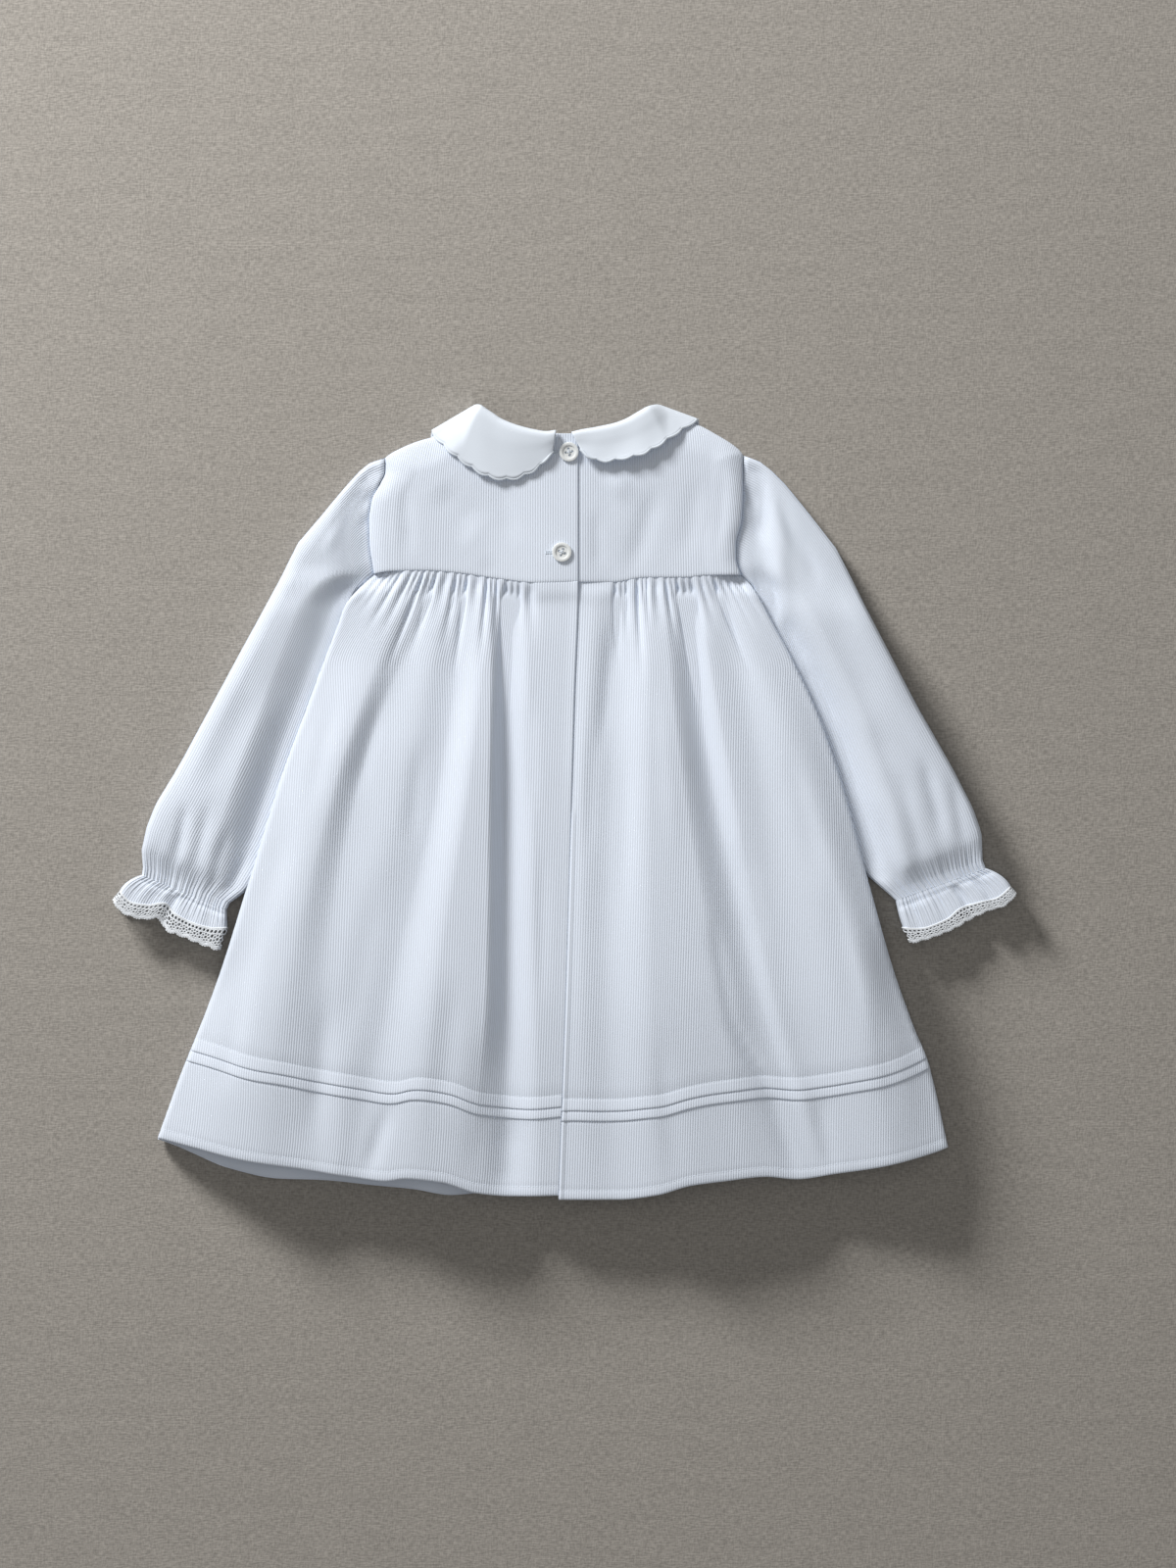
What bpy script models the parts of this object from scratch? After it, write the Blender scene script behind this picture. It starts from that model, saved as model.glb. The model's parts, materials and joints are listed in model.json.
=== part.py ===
"""Toddler's long-sleeved dress in white needlecord, laid flat with its buttoned back upward.

Frame: +Y to the neck, -Y to the hem, +X to the wearer's right, +Z up from the surface it lies on.
Shapes are worked out in millimetres and become metres as each mesh is made.
Every panel is a grid: its outline comes from short tables of edge points, its height from crest and
trough lines that run down the cloth, and its wall is made from the same points, moved down.
"""
import bpy
import numpy as np

MM = 0.001
SEAM_GAP = 0.35          # between two pieces that are sewn together
CORD_WALL = 1.5          # needlecord with its turnings
COTTON_WALL = 1.2        # collar, two layers of lawn
SLEEVE_WALL = 1.3
LACE_WALL = 1.0
LAP_RISE = 2.1           # the left yoke's stand over the right yoke
YOKE_ARCH = 9.6          # height of the back yoke over the chest
YOKE_WAVE = 0.6
YOKE_SLOPE = 24.0        # how far in from armhole and shoulder it rises
YOKE_ROWS = (0, 0.02, 0.07, 0.14, 0.21, 0.28, 0.35, 0.42, 0.49, 0.56, 0.63, 0.7, 0.77, 0.84, 0.91, 0.97, 1)
YOKE_COLUMNS = {
    "left": (0, 0.06, 0.15, 0.24, 0.32, 0.4, 0.45, 0.5, 0.6, 0.69, 0.73, 0.775, 0.88, 1),
    "right": (0, 0.06, 0.15, 0.24, 0.33, 0.39, 0.44, 0.5, 0.6, 0.7, 0.8, 0.9, 1),
}
YOKE_CENTRE = {"left": 8.7, "right": -16.7}     # the right yoke runs on under the left one's stand
STAND_EDGE = (-31, -20)  # where the left yoke climbs over the right one
FRONT_YOKE_ROWS = (0, 0.02, 0.07, 0.21, 0.42, 0.63, 0.84, 0.97, 1)
FRONT_YOKE_COLUMNS = (0, 0.05, 0.15, 0.25, 0.33, 0.41, 0.46, 0.5, 0.56, 0.62, 0.72, 0.86, 1)
COLLAR_FRONT = (90, 62)  # reach of the collar's front ends under the front yoke
COLLAR_FRONT_Y = 236
COLLAR_FRONT_RISE = 1.6
SIDE_FOLD = 0.3          # room left at the skirt's side seam
STEEPEST = 1.5           # most that a sloping wall is thickened downward

# Edges, as (y, x) down the piece.
SKIRT_SIDE = {
    "left": ((144.5, -120.9), (133.9, -131.4), (124.6, -138.9), (112, -143.6), (88.7, -152.5), (62, -162.4),
             (24, -176.7), (-51.5, -200.3), (-96.7, -214.5), (-137.6, -229.4), (-168, -241.8),
             (-213.5, -258.3)),
    "right": ((143.8, 112), (137, 118.4), (124.6, 125.8), (111.6, 132.7), (89.9, 144.5), (52.7, 161.8),
              (4.3, 177.9), (-47.1, 191.6), (-103.5, 207.7), (-143.8, 222), (-167.4, 231.3), (-219.5, 243.5)),
}
ARMHOLE = {
    "left": ((218.2, -114.1), (209.6, -114.1), (202, -117.2), (191, -122.4), (178.6, -124), (163, -123.7),
             (150.7, -122.1), (144.5, -120.9)),
    "right": ((219.5, 113.8), (209, 113.4), (194, 113.2), (179, 112.4), (163, 109), (155, 109), (143.8, 112)),
}
CENTRE_BACK = ((240, 8.7), (139, 8.7), (69.4, 6.4), (-6.2, 4.3), (-113.5, 1.2), (-250.5, -3.7))
CENTRE_FRONT = ((240, 0), (-251, 0))
# Edges, as (x, y) across the piece.
YOKE_SEAM = ((-120.9, 144.5), (-110.4, 146.1), (-89.3, 146.5), (-69.4, 145.1), (-43.4, 141.4), (-17.4, 138.6),
             (8.7, 139.1), (30.4, 139.1), (51.5, 142), (77.5, 142.1), (89.3, 143.4), (112, 143.8))
HEM = {
    "left": ((-258.3, -213.5), (-236.8, -218.9), (-202.7, -227.3), (-168, -232.5), (-132.7, -238.1),
             (-112.8, -240.3), (-100.4, -238.7), (-77.5, -240.9), (-53.9, -248), (-32.9, -250.1),
             (-3.7, -249.4)),
    "right": ((-3.7, -252.1), (35.3, -252), (59.5, -249), (80.6, -243), (101.7, -240.2), (127.7, -237.5),
              (147.6, -239.3), (171.1, -235.9), (199, -231.6), (233.7, -222.9), (243.5, -219.5)),
}
FRONT_HEM = ((-258.3, -214.5), (-247.4, -218.4), (-235.6, -223.6), (-214.5, -232.5), (-182.3, -239.3),
             (-152.5, -240.5), (-121.5, -243.7), (-94.9, -246.3), (-71.9, -249.9), (-53.9, -248.6),
             (-20, -247.5), (30, -248.5), (80, -241), (150, -234.5), (200, -228.5), (243.5, -217.5))
BACK_NECK = ((-114.1, 218.2), (-109.1, 221.6), (-96.7, 227.3), (-90, 229.6), (-84, 231.2), (-78, 234.6),
             (-62, 244.4),
             (-57, 245.4), (-50, 241.5), (-40, 236.8), (-28, 232.6), (-14, 230), (8.7, 229.5), (24, 232.6),
             (36, 235.8), (44, 239.4), (50, 242.6), (57, 246.2), (62, 246.8), (74, 242.6), (84, 239.4),
             (95.5, 233.4), (110.5, 223.6), (113.8, 219.5))
FRONT_NECK = ((-114.1, 218.2), (-109.1, 221.6), (-96.7, 227.3), (-90, 229.6), (-84, 231.2), (-78, 234.6),
              (-62, 244.2),
              (-57, 244), (-52, 236), (-44, 222), (-32, 212), (-16, 206.5), (0, 205), (16, 206.5), (32, 212),
              (44, 222), (52, 236), (57, 245), (62, 246.6), (74, 242.6), (84, 239.4), (95.5, 233.4),
              (110.5, 223.6), (113.8, 219.5))

# Crest and trough lines of the back skirt: x and height at each level of y.
FOLD_LEVELS = (141, 100, 20, -110, -246)
FOLDS = {
    "left": (
        ("crest_side", (-99, -115, -143, -175, -195), (10.5, 14, 21, 20, 11)),
        ("trough_1", (-81, -98, -127, -151, -160), (8, 8.5, 11, 14, 8)),
        ("crest_2", (-73, -82, -100, -131, -146), (10, 12, 15.5, 16.5, 9.8)),
        ("trough_2", (-66, -68, -79, -109, -137), (8.2, 9, 12, 13.5, 9)),
        ("crest_3", (-55, -51, -58, -78, -92), (10.5, 15, 22.5, 24, 13.5)),
        ("shoulder_3", (-47, -47, -48, -50, -62), (10, 14.4, 21.5, 22.5, 12)),
        ("trough_3", (-37, -37, -37, -36, -35), (7.4, 7, 8, 9.5, 7)),
        ("crest_4", (-22, -22, -19, -17, -15), (10, 12.5, 14.5, 16.5, 10.5)),
        ("centre", (9, 7, 5, 1, -3.5), (10.5, 12, 14, 16, 10)),
    ),
    "right": (
        ("centre", (9, 7, 5, 1, -3.5), (8.4, 10, 12.4, 15.4, 9.4)),
        ("crest_5", (19, 17, 13, 12, 15), (9.5, 12.5, 15, 17, 10.5)),
        ("trough_5", (36, 34, 29, 25, 29), (8, 9, 12.5, 16, 10)),
        ("crest_6", (50, 55, 55, 56, 63), (10.5, 15, 21, 24, 13.5)),
        ("shoulder_6", (64, 65, 73, 94, 115), (10, 14.4, 20.5, 22, 11.5)),
        ("trough_6", (77, 81, 93, 122, 161), (7.6, 7.4, 9.5, 13.5, 7.6)),
        ("crest_7", (87, 91, 105, 130, 170), (10, 12.5, 15, 15, 8.8)),
        ("trough_7", (99, 107, 123, 140, 177), (8.2, 9.4, 12, 14, 8.4)),
        ("crest_8", (107, 120, 148, 185, 207), (9.8, 12.8, 18.5, 21, 11)),
    ),
}
# Gathers where the back skirt joins the yoke: x of the trough on the seam, its depth and its length down.
GATHERS = {
    "left": ((-110.7, 1.2, 18), (-102.9, 1.6, 20), (-96.1, 1.4, 24), (-88.7, 2.2, 34), (-80.6, 2.2, 30),
             (-74.4, 1.5, 20), (-68.2, 1.8, 26), (-61.4, 2, 34), (-55.2, 1.6, 20), (-49, 2, 30),
             (-42.8, 1.6, 24), (-36.6, 2.2, 38), (-28.5, 1.5, 20), (-21.7, 1.4, 24)),
    "right": ((32.2, 1.8, 32), (39.1, 1.5, 20), (45.9, 2, 34), (52.1, 1.6, 20), (57.7, 1.5, 22),
              (63.9, 1.8, 26), (70.7, 2.2, 36), (79.4, 1.8, 24), (85.6, 1.5, 20), (93.6, 2.2, 36),
              (101.7, 1.6, 22), (107.9, 1.4, 22)),
}
WIDEST_COLUMN = 0.034    # of a skirt half's width
SEAM_ROWS = (0, 0.03, 0.07, 0.13, 0.21, 0.31, 0.42, 0.53, 0.64, 0.75, 0.86, 0.94)   # seam to tucks
TUCK_STITCH = 64.0       # above the hem
TUCK_FOLDS = (56.2, 49.8)
TUCK_RISE = 1.4
TUCK_LIP = 0.8
HEM_ROWS = (33, 14, 0)

FRONT_GATHERS = 15
FRONT_GATHER_RISE = 1.6
FRONT_GATHER_LENGTH = 45
FRONT_COLUMNS = 16
FLAT_BELOW = 0.3         # the front skirt lies quite flat where it would rise less
SKIRT_LENGTH = 390       # seam to hem
# Soft ridges of the front skirt under the back's crests: x at the seam, x at the hem, height, half-width.
FRONT_RIDGES = ((-96, -185, 3.2, 16), (-56, -86, 3.5, 13), (10, 4, 2.6, 14), (56, 66, 3.5, 14),
                (104, 196, 3.2, 16))
RIDGE_START = (20, 90)   # below the seam, where a ridge begins and is full
RIDGE_END = (250, 390)   # where it starts to sink, down to half at the hem

# Where a sleeve's inner edge lies under the skirt, the skirt lies over it.
LIFT = 5.6
# The lift down a side, as y: where it starts, is full, is still full, and has sunk again.
LIFT_SPAN = {"left": (144.5, 129, -78, -125), "right": (143.8, 129, -70, -118)}
LIFT_INSET = (13, 25)    # full to the first, gone by the second, from the skirt's side

# Sleeves, from the armhole to the elastic: outer and inner edges.
SLEEVE_OUTER = {
    "left": ((-114.45, 218.2), (-124, 215.1), (-131.4, 208.9), (-143.2, 195.3), (-155, 181), (-169.3, 164.3),
             (-181, 140.7), (-212, 83.7), (-245.5, 21.7), (-259.8, -1.9), (-265.4, -16.1), (-268.5, -30.4),
             (-267.6, -43)),
    "right": ((114.15, 219.5), (123.4, 216.4), (130.2, 211.4), (139.5, 202.1), (150.7, 188.5), (173, 160),
              (189.1, 127.7), (223.8, 60.8), (245.5, 22.9), (259.2, -3.7), (264.9, -20), (265.4, -38.4)),
}
SLEEVE_INNER = {
    "left": ((-121.25, 144.5), (-133.2, 133.2), (-140, 118), (-144, 95), (-151, 70), (-162, 35), (-173, 0),
             (-187, -33), (-201.5, -56.4), (-213.6, -65)),
    "right": ((112.35, 143.8), (120.8, 136.4), (127.4, 120), (133, 98), (141, 75), (152, 45), (164, 10),
              (177, -20), (191.6, -46), (206, -58.5)),
}
# Elastic, frill and lace lines across each wrist: outer point, inner point.
ELASTIC = {"left": ((-268.2, -46.5), (-214.8, -68.6)), "right": ((267.2, -42.2), (210.4, -62.4))}
FRILL_MID = {"left": ((-278.5, -49.5), (-213.9, -77.5)), "right": ((277.8, -46.5), (213.4, -74.5))}
FRILL_END = {"left": ((-282.7, -57), (-216.4, -86.2)), "right": ((283.6, -54.2), (217.8, -87))}
LACE_END = {"left": ((-287.7, -63.2), (-219.2, -96.2)), "right": ((287.7, -58.9), (219.8, -90.8))}
# How far the frill's and the lace's edges wander from straight: across the wrist, frill, lace.
FRILL_WAVE = {
    "left": ((0, 0, 0), (0.13, 3.6, 4.4), (0.28, 1.2, 3.2), (0.42, -4.2, -1.6), (0.52, -0.8, 3.0),
             (0.68, 0.4, 1.6), (0.85, 0.8, 1.0), (1, 0, 0)),
    "right": ((0, 0, 0), (0.15, 2.6, 3.6), (0.3, 0.2, 2.0), (0.48, -1.6, 2.6), (0.62, 0.6, 3.2),
              (0.8, 1.2, 2.4), (1, 0, 0)),
}
ACROSS_UP = (0, 0.02, 0.07, 0.14, 0.21, 0.28, 0.35, 0.42, 0.49, 0.56, 0.63, 0.7, 0.77, 0.84, 0.91, 0.97, 1)
ACROSS_DOWN = (0.97, 0.84, 0.63, 0.42, 0.21, 0.07, 0.02)
SLEEVE_RINGS = (0, 0.05, 0.1, 0.17, 0.25, 0.35, 0.46, 0.57, 0.67, 0.77, 0.85, 0.91, 0.96, 0.99)
FLAT_TUBE = 5.2          # sleeve where it lies under the skirt
OPEN_TUBE = 3.7          # sleeve where it meets the yokes
FOLD_EDGE = 2.4          # mid-height of a tube's folded side
FOLD_FLOOR = 0.5         # height of its underside beside the fold
TUBE_HOLLOW = 0.45       # least room inside a pressed tube
SLEEVE_CROWN = ((0, 6), (0.15, 9.5), (0.4, 11), (0.75, 10.5), (0.93, 7.5), (1, 4.2))   # along, height added
SLEEVE_ROUND = 0.16      # part of its width that a sleeve rounds over at each side
SLEEVE_FOLD = 0.03       # part of its width that the flat tube folds over at each side
CROWN_FROM_SKIRT = (6, 30)    # past the skirt's edge, where the crown starts and is full
CROWN_FROM_YOKE = (0, 16)
HEAD_BEND = 0.2          # part of the sleeve over which the armhole's curve runs out
WRIST_GATHER = 1.3
CUFF_FOLD = 0.07
CUFF_RIPPLE = 0.8
FRILL_HEIGHT = 6.2
LACE_HEIGHT = 4.6
LACE_RINGS = (0, 0.5, 1)
# The cuff's rings: line, how much of the frill's wander it has, height.
CUFF_LINES = ((ELASTIC, 0, 4.6), (FRILL_MID, 0.3, 5.6), (FRILL_END, 1, FRILL_HEIGHT))

# Collar halves: columns from centre back over the shoulder to centre front, as (inner x, y, outer x, y).
COLLAR = {
    "left": ((-5.2, 234, -7.4, 221.6), (-13.6, 233.4, -13.5, 215.6), (-28.5, 236.8, -22, 209.4),
             (-39.7, 241.2, -34, 205.3), (-45.3, 244.9, -47.7, 206.9), (-50, 248, -60.8, 214.3),
             (-53.3, 250.3, -73, 224), (-55.9, 251.3, -82.2, 233.8), (-57.2, 252, -83.9, 236.3),
             (-57.1, 250.4, -83.4, 233.6), (-54, 240, -78, 212), (-49, 230, -69, 198), (-41, 220, -56, 186.5),
             (-30.5, 212, -41, 180), (-18, 207.4, -24, 178), (-9, 205.8, -10.5, 181), (-3, 205.2, -4, 190)),
    "right": ((4.6, 233, 10.2, 222.4), (10.8, 234.6, 14.6, 219), (20, 236.2, 23.6, 216.4),
              (31.6, 238.7, 36, 217.8),
              (39.7, 241.8, 48.4, 220.7), (47, 246, 57.6, 225.4), (52.7, 249.2, 68.5, 232.8),
              (57.9, 251.2, 81.2, 241.6), (60.4, 252.1, 84.6, 243.2), (60.2, 250.5, 84, 240.6),
              (55, 240, 78, 213),
              (49.5, 230, 69, 198), (41, 220, 56, 186.5), (30.5, 212, 41, 180), (18, 207.4, 24, 178),
              (9, 205.8, 10.5, 181), (3, 205.2, 4, 190)),
}
COLLAR_FOLD = 8          # the column that lies along the shoulder
COLLAR_FOLD_HEIGHT = 3.2
COLLAR_RISE = {"left": 0.4, "right": 3.4}    # of the outer edge over the yoke
# A collar column across, from its roll at the neck to its edge: part of its width, height over the yoke.
COLLAR_ACROSS = ((0, 1.6), (0.025, 4.4), (0.12, 5.8), (0.3, 5.2), (0.6, 3.4), (1, 1.6))

BUTTON_AT = {"upper": (2.9, 221.2), "lower": (-1.6, 157.8)}
BUTTON_RADIUS = 6.2
# Half a button's section, as (radius, height).
BUTTON_PROFILE = ((0, 1.3), (3.9, 1.3), (4.7, 2.5), (5.5, 2.6), (6.2, 1.7), (6.0, 0.6), (4.6, 0))
BUTTON_SIDES = 20
HOLE_PITCH = 1.35        # from the button's middle, along X and Y
HOLE_RADIUS = 0.75

WHITE_CORD = (0.80, 0.83, 0.88, 1)
WHITE_COTTON = (0.84, 0.86, 0.90, 1)
LACE_WHITE = (0.80, 0.80, 0.79, 1)
IVORY = (0.82, 0.80, 0.75, 1)


def slopes(x, z):
    """Slope at each knot, zero at crests and troughs, as a harmonic mean of its two sides."""
    step = np.diff(z, axis=-1) / np.maximum(np.diff(x, axis=-1), 1e-6)
    a, b = step[..., :-1], step[..., 1:]
    inner = np.where(a * b > 0, 2 * a * b / np.where(np.abs(a + b) > 1e-9, a + b, 1.0), 0.0)
    return np.concatenate([step[..., :1], inner, step[..., -1:]], axis=-1)


def through(x_knots, z_knots, x):
    """Smooth line through knots that may differ at every point: cubic, and never past its knots."""
    m = slopes(x_knots, z_knots)
    last = x_knots.shape[-1] - 2
    i = np.clip(np.sum(x[..., None] >= x_knots, axis=-1) - 1, 0, last)[..., None]
    x0, x1 = (np.take_along_axis(x_knots, i + k, -1)[..., 0] for k in (0, 1))
    z0, z1 = (np.take_along_axis(z_knots, i + k, -1)[..., 0] for k in (0, 1))
    m0, m1 = (np.take_along_axis(m, i + k, -1)[..., 0] for k in (0, 1))
    h = np.maximum(x1 - x0, 1e-6)
    t = np.clip((x - x0) / h, 0, 1)
    return ((1 + 2 * t) * (1 - t) ** 2 * z0 + t * (1 - t) ** 2 * h * m0
            + t * t * (3 - 2 * t) * z1 + t * t * (t - 1) * h * m1)


def read(table, at, column=1):
    """A table's column at each place, on a smooth line through its rows."""
    rows = np.array(sorted(table), float)
    at = np.asarray(at, float)
    shape = at.shape + (len(rows),)
    return through(np.broadcast_to(rows[:, 0], shape), np.broadcast_to(rows[:, column], shape), at)


def ease(a, b, x):
    """0 before a, 1 past b, smooth between."""
    t = np.clip((x - a) / (b - a), 0, 1)
    return t * t * (3 - 2 * t)


def lift(side, x, y):
    """Height that the sleeve's inner edge gives the skirt lying over it."""
    start, full, end, gone = LIFT_SPAN[side]
    inset = np.abs(x - read(SKIRT_SIDE[side], y))
    along = ease(start, full, y) * ease(gone, end, y)
    return LIFT * along * (1 - ease(LIFT_INSET[0], LIFT_INSET[1], inset))


def front_skirt_rise(x, y):
    """Underside of the front skirt over the surface: flat, but for gathers, soft ridges and the sleeves."""
    down = read(YOKE_SEAM, x) - y
    over_sleeve = np.where(x < 0, lift("left", x, y), lift("right", x, y))
    width = np.where(x < 0, -read(SKIRT_SIDE["left"], y), read(SKIRT_SIDE["right"], y))
    wave = 0.5 - 0.5 * np.cos(np.pi * FRONT_GATHERS * (1 + x / width))
    inset = width - np.abs(x)
    rise = FRONT_GATHER_RISE * wave * (1 - ease(0, FRONT_GATHER_LENGTH, down)) * ease(3, 20, inset)
    part = np.clip(down / SKIRT_LENGTH, 0, 1)
    fullness = ease(*RIDGE_START, down) * (1 - 0.5 * ease(*RIDGE_END, down))
    for top, foot, height, half in FRONT_RIDGES:
        line = top + (foot - top) * part
        rise = rise + height * fullness * np.exp(-((x - line) / half) ** 2)
    return over_sleeve + np.maximum(rise - FLAT_BELOW, 0)


def front_yoke_rise(x, y):
    """Underside of the front yoke: on the surface, and over the collar's front ends near the neck."""
    reach = np.hypot(x / COLLAR_FRONT[0], (y - COLLAR_FRONT_Y) / COLLAR_FRONT[1])
    return COLLAR_FRONT_RISE * (1 - ease(1.1, 1.4, reach))


def back_skirt_height(side, x, y, s, down):
    """Top of the back skirt: crest and trough lines, then the gathers that fade down from the seam."""
    fold = FOLDS[side]
    levels = np.array(FOLD_LEVELS, float)
    knots_x = [read(tuple(zip(levels, f[1])), y) for f in fold]
    knots_z = [read(tuple(zip(levels, f[2])), y) for f in fold]
    edge_x = read(SKIRT_SIDE[side], y)
    edge_z = lift(side, edge_x, y) + CORD_WALL + SEAM_GAP + CORD_WALL + SIDE_FOLD
    if side == "left":
        knots_x, knots_z = [edge_x] + knots_x, [edge_z] + knots_z
        knots_x[-1] = read(CENTRE_BACK, y)
    else:
        knots_x, knots_z = knots_x + [edge_x], knots_z + [edge_z]
        knots_x[0] = read(CENTRE_BACK, y)
    z = through(np.stack(knots_x, -1), np.stack(knots_z, -1), x)
    for place, depth, length, half in gathers(side):
        z = z - depth * np.clip(1 - np.abs(s - place) / half, 0, 1) * (1 - ease(0, length, down))
    return z


def seam_place(side, x):
    """Place of an x on the yoke seam, 0 at the side and 1 at the centre back."""
    side_x = SKIRT_SIDE[side][0][1]
    return (x - side_x) / (CENTRE_BACK[1][1] - side_x)


def gathers(side):
    """Each gather as its place across the panel, depth, length and half-width."""
    rows = sorted((float(seam_place(side, x)), depth, length) for x, depth, length in GATHERS[side])
    places = [r[0] for r in rows]
    for i, (place, depth, length) in enumerate(rows):
        near = [abs(place - places[j]) for j in (i - 1, i + 1) if 0 <= j < len(rows)]
        yield place, depth, length, 0.5 * min(near)


def skirt_columns(side):
    """Places across a back skirt: each gather's trough and the crest beside it, and between where wide."""
    places = [g[0] for g in gathers(side)]
    stops = sorted({0.0, 0.03, 1.0, *places, *(0.5 * (a + b) for a, b in zip(places, places[1:]))})
    out = [stops[0]]
    for a, b in zip(stops, stops[1:]):
        parts = max(1, int(np.ceil((b - a) / WIDEST_COLUMN)))
        out += [a + (b - a) * k / parts for k in range(1, parts + 1)]
    return np.array(out)


def panel(side_table, centre_table, top_table, foot_table, s, rows):
    """Plan of a panel: y between its top and its foot, x between its side and its centre at that y.

    rows holds (part, above): part of the way down to a line that lies `above` over the foot.
    """
    top_y, foot_y = side_table[0][0], side_table[-1][0]
    x_top = read(side_table, top_y) * (1 - s) + read(centre_table, top_y) * s
    x_foot = read(side_table, foot_y) * (1 - s) + read(centre_table, foot_y) * s
    y_top, y_foot = read(top_table, x_top), read(foot_table, x_foot)
    part, above = np.array(rows, float).T
    y = y_top + (y_foot[None] + above[:, None] - y_top) * part[:, None]
    x = read(side_table, y) * (1 - s) + read(centre_table, y) * s
    return x, y


def down_wall(x, y, z, wall):
    """Depth of a wall under a sloping top, so that it stays one thickness across."""
    gy = np.gradient(z, axis=0) / np.minimum(np.gradient(y, axis=0), -1e-3)
    gx = np.gradient(z, axis=1) / np.maximum(np.abs(np.gradient(x, axis=1)), 1e-3)
    return wall * np.minimum(np.sqrt(1 + gx ** 2 + gy ** 2), STEEPEST)


def grid_faces(rows, columns, start, close=False):
    """Triangles over a grid of points numbered from start, all cut the same way, so that the two faces of a
    wall never cross; close joins the last column to the first."""
    i, j = np.meshgrid(np.arange(rows - 1), np.arange(columns if close else columns - 1), indexing="ij")
    k = (j + 1) % columns
    a, b, c, d = i * columns + j, i * columns + k, (i + 1) * columns + k, (i + 1) * columns + j
    return start + np.stack([a, b, c, a, c, d], -1).reshape(-1, 3)


def halves(quads):
    """Triangles of an array of quads."""
    return np.concatenate([quads[:, [0, 1, 2]], quads[:, [0, 2, 3]]])


def make(name, points, faces, colour, roughness, smooth=False):
    """One object from points in millimetres, with its faces turned outward, its own material and origin."""
    points = np.asarray(points, float) * MM
    faces = [tuple(int(v) for v in f) for f in faces]
    volume = 0.0
    for f in faces:
        for a, b in zip(f[1:-1], f[2:]):
            volume += float(np.dot(points[f[0]], np.cross(points[a], points[b])))
    if volume < 0:
        faces = [f[::-1] for f in faces]
    place = np.array([points[:, 0].mean(), points[:, 1].mean(), 0.0])
    mesh = bpy.data.meshes.new(name)
    mesh.from_pydata((points - place).tolist(), [], faces)
    mesh.validate()
    if smooth:
        mesh.shade_smooth()
    obj = bpy.data.objects.new(name, mesh)
    obj.location = place
    bpy.context.collection.objects.link(obj)
    material = bpy.data.materials.new(name)
    material.use_nodes = True
    shader = material.node_tree.nodes["Principled BSDF"]
    shader.inputs["Base Color"].default_value = colour
    shader.inputs["Roughness"].default_value = roughness
    shader.inputs["Metallic"].default_value = 0.0
    mesh.materials.append(material)
    return obj


def sheet(name, top, under, colour=WHITE_CORD, roughness=0.9):
    """Closed body between two grids of the same size, with its four edges walled."""
    rows, columns = top.shape[:2]
    count = rows * columns
    index = np.arange(count).reshape(rows, columns)
    rim = np.concatenate([index[0, :-1], index[:-1, -1], index[-1, :0:-1], index[:0:-1, 0]])
    nxt = np.roll(rim, -1)
    walls = np.stack([rim, rim + count, nxt + count, nxt], -1)
    faces = np.concatenate([grid_faces(rows, columns, 0)[:, ::-1], grid_faces(rows, columns, count),
                            halves(walls[:, ::-1])])
    return make(name, np.concatenate([top.reshape(-1, 3), under.reshape(-1, 3)]), faces, colour, roughness)


def tube(name, outer, inner, colour, roughness):
    """Closed body of a tube's wall: rings of points outside and inside, joined at both ends."""
    rings, count = outer.shape[:2]
    total = rings * count
    ends = []
    for first in (0, total - count):
        a = first + np.arange(count)
        b = np.roll(a, -1)
        quad = np.stack([a, b, b + total, a + total], -1)
        ends.append(halves(quad[:, ::-1] if first else quad))
    outside, inside = grid_faces(rings, count, 0, True)[:, ::-1], grid_faces(rings, count, total, True)
    faces = np.concatenate([outside, inside, *ends])
    return make(name, np.concatenate([outer.reshape(-1, 3), inner.reshape(-1, 3)]), faces, colour, roughness)


def flat_sheet(name, x, y, top, wall, rise=None, **look):
    """A panel from its plan, its top height and its wall; rise is its underside where that is given."""
    under = top - down_wall(x, y, top, wall) if rise is None else rise
    return sheet(name, np.stack([x, y, top], -1), np.stack([x, y, under], -1), **look)


def skirt_rows():
    """Rows of a skirt panel: seam to the tucks' stitching, each tuck's fold and its foot, then to the hem."""
    rows = [(part, TUCK_STITCH) for part in SEAM_ROWS] + [(1, TUCK_STITCH)]
    for fold in TUCK_FOLDS:
        rows += [(1, fold), (1, fold - TUCK_LIP)]
    return rows + [(1, above) for above in HEM_ROWS]


def tuck_rise():
    """Height of the tucks on each of those rows: full on a fold's edge, half on the next one's start."""
    before = [0.0] * (len(SEAM_ROWS) + 1)
    return np.array(before + [TUCK_RISE, 0.5 * TUCK_RISE, TUCK_RISE, 0.0] + [0.0] * len(HEM_ROWS))


def back_skirt(side):
    """A back skirt half, gathered to the yoke, with its two tucks standing over the hem."""
    s = skirt_columns(side)
    x, y = panel(SKIRT_SIDE[side], CENTRE_BACK, YOKE_SEAM, HEM[side], s, skirt_rows())
    down = y[:1] - y
    z = back_skirt_height(side, x, y, s[None], down)
    away = ease(0, 12, np.abs(x - read(SKIRT_SIDE[side], y)))
    z = np.maximum(z, front_skirt_rise(x, y) + CORD_WALL + SEAM_GAP + CORD_WALL * (1 + (STEEPEST - 1) * away))
    y[0] -= SEAM_GAP
    x[:, -1] += 0.5 * SEAM_GAP * (-1 if side == "left" else 1)
    under = z - CORD_WALL - (down_wall(x, y, z, CORD_WALL) - CORD_WALL) * away
    top = z + tuck_rise()[:, None]
    sheet("back_skirt_" + side, np.stack([x, y, top], -1), np.stack([x, y, under], -1))


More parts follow.
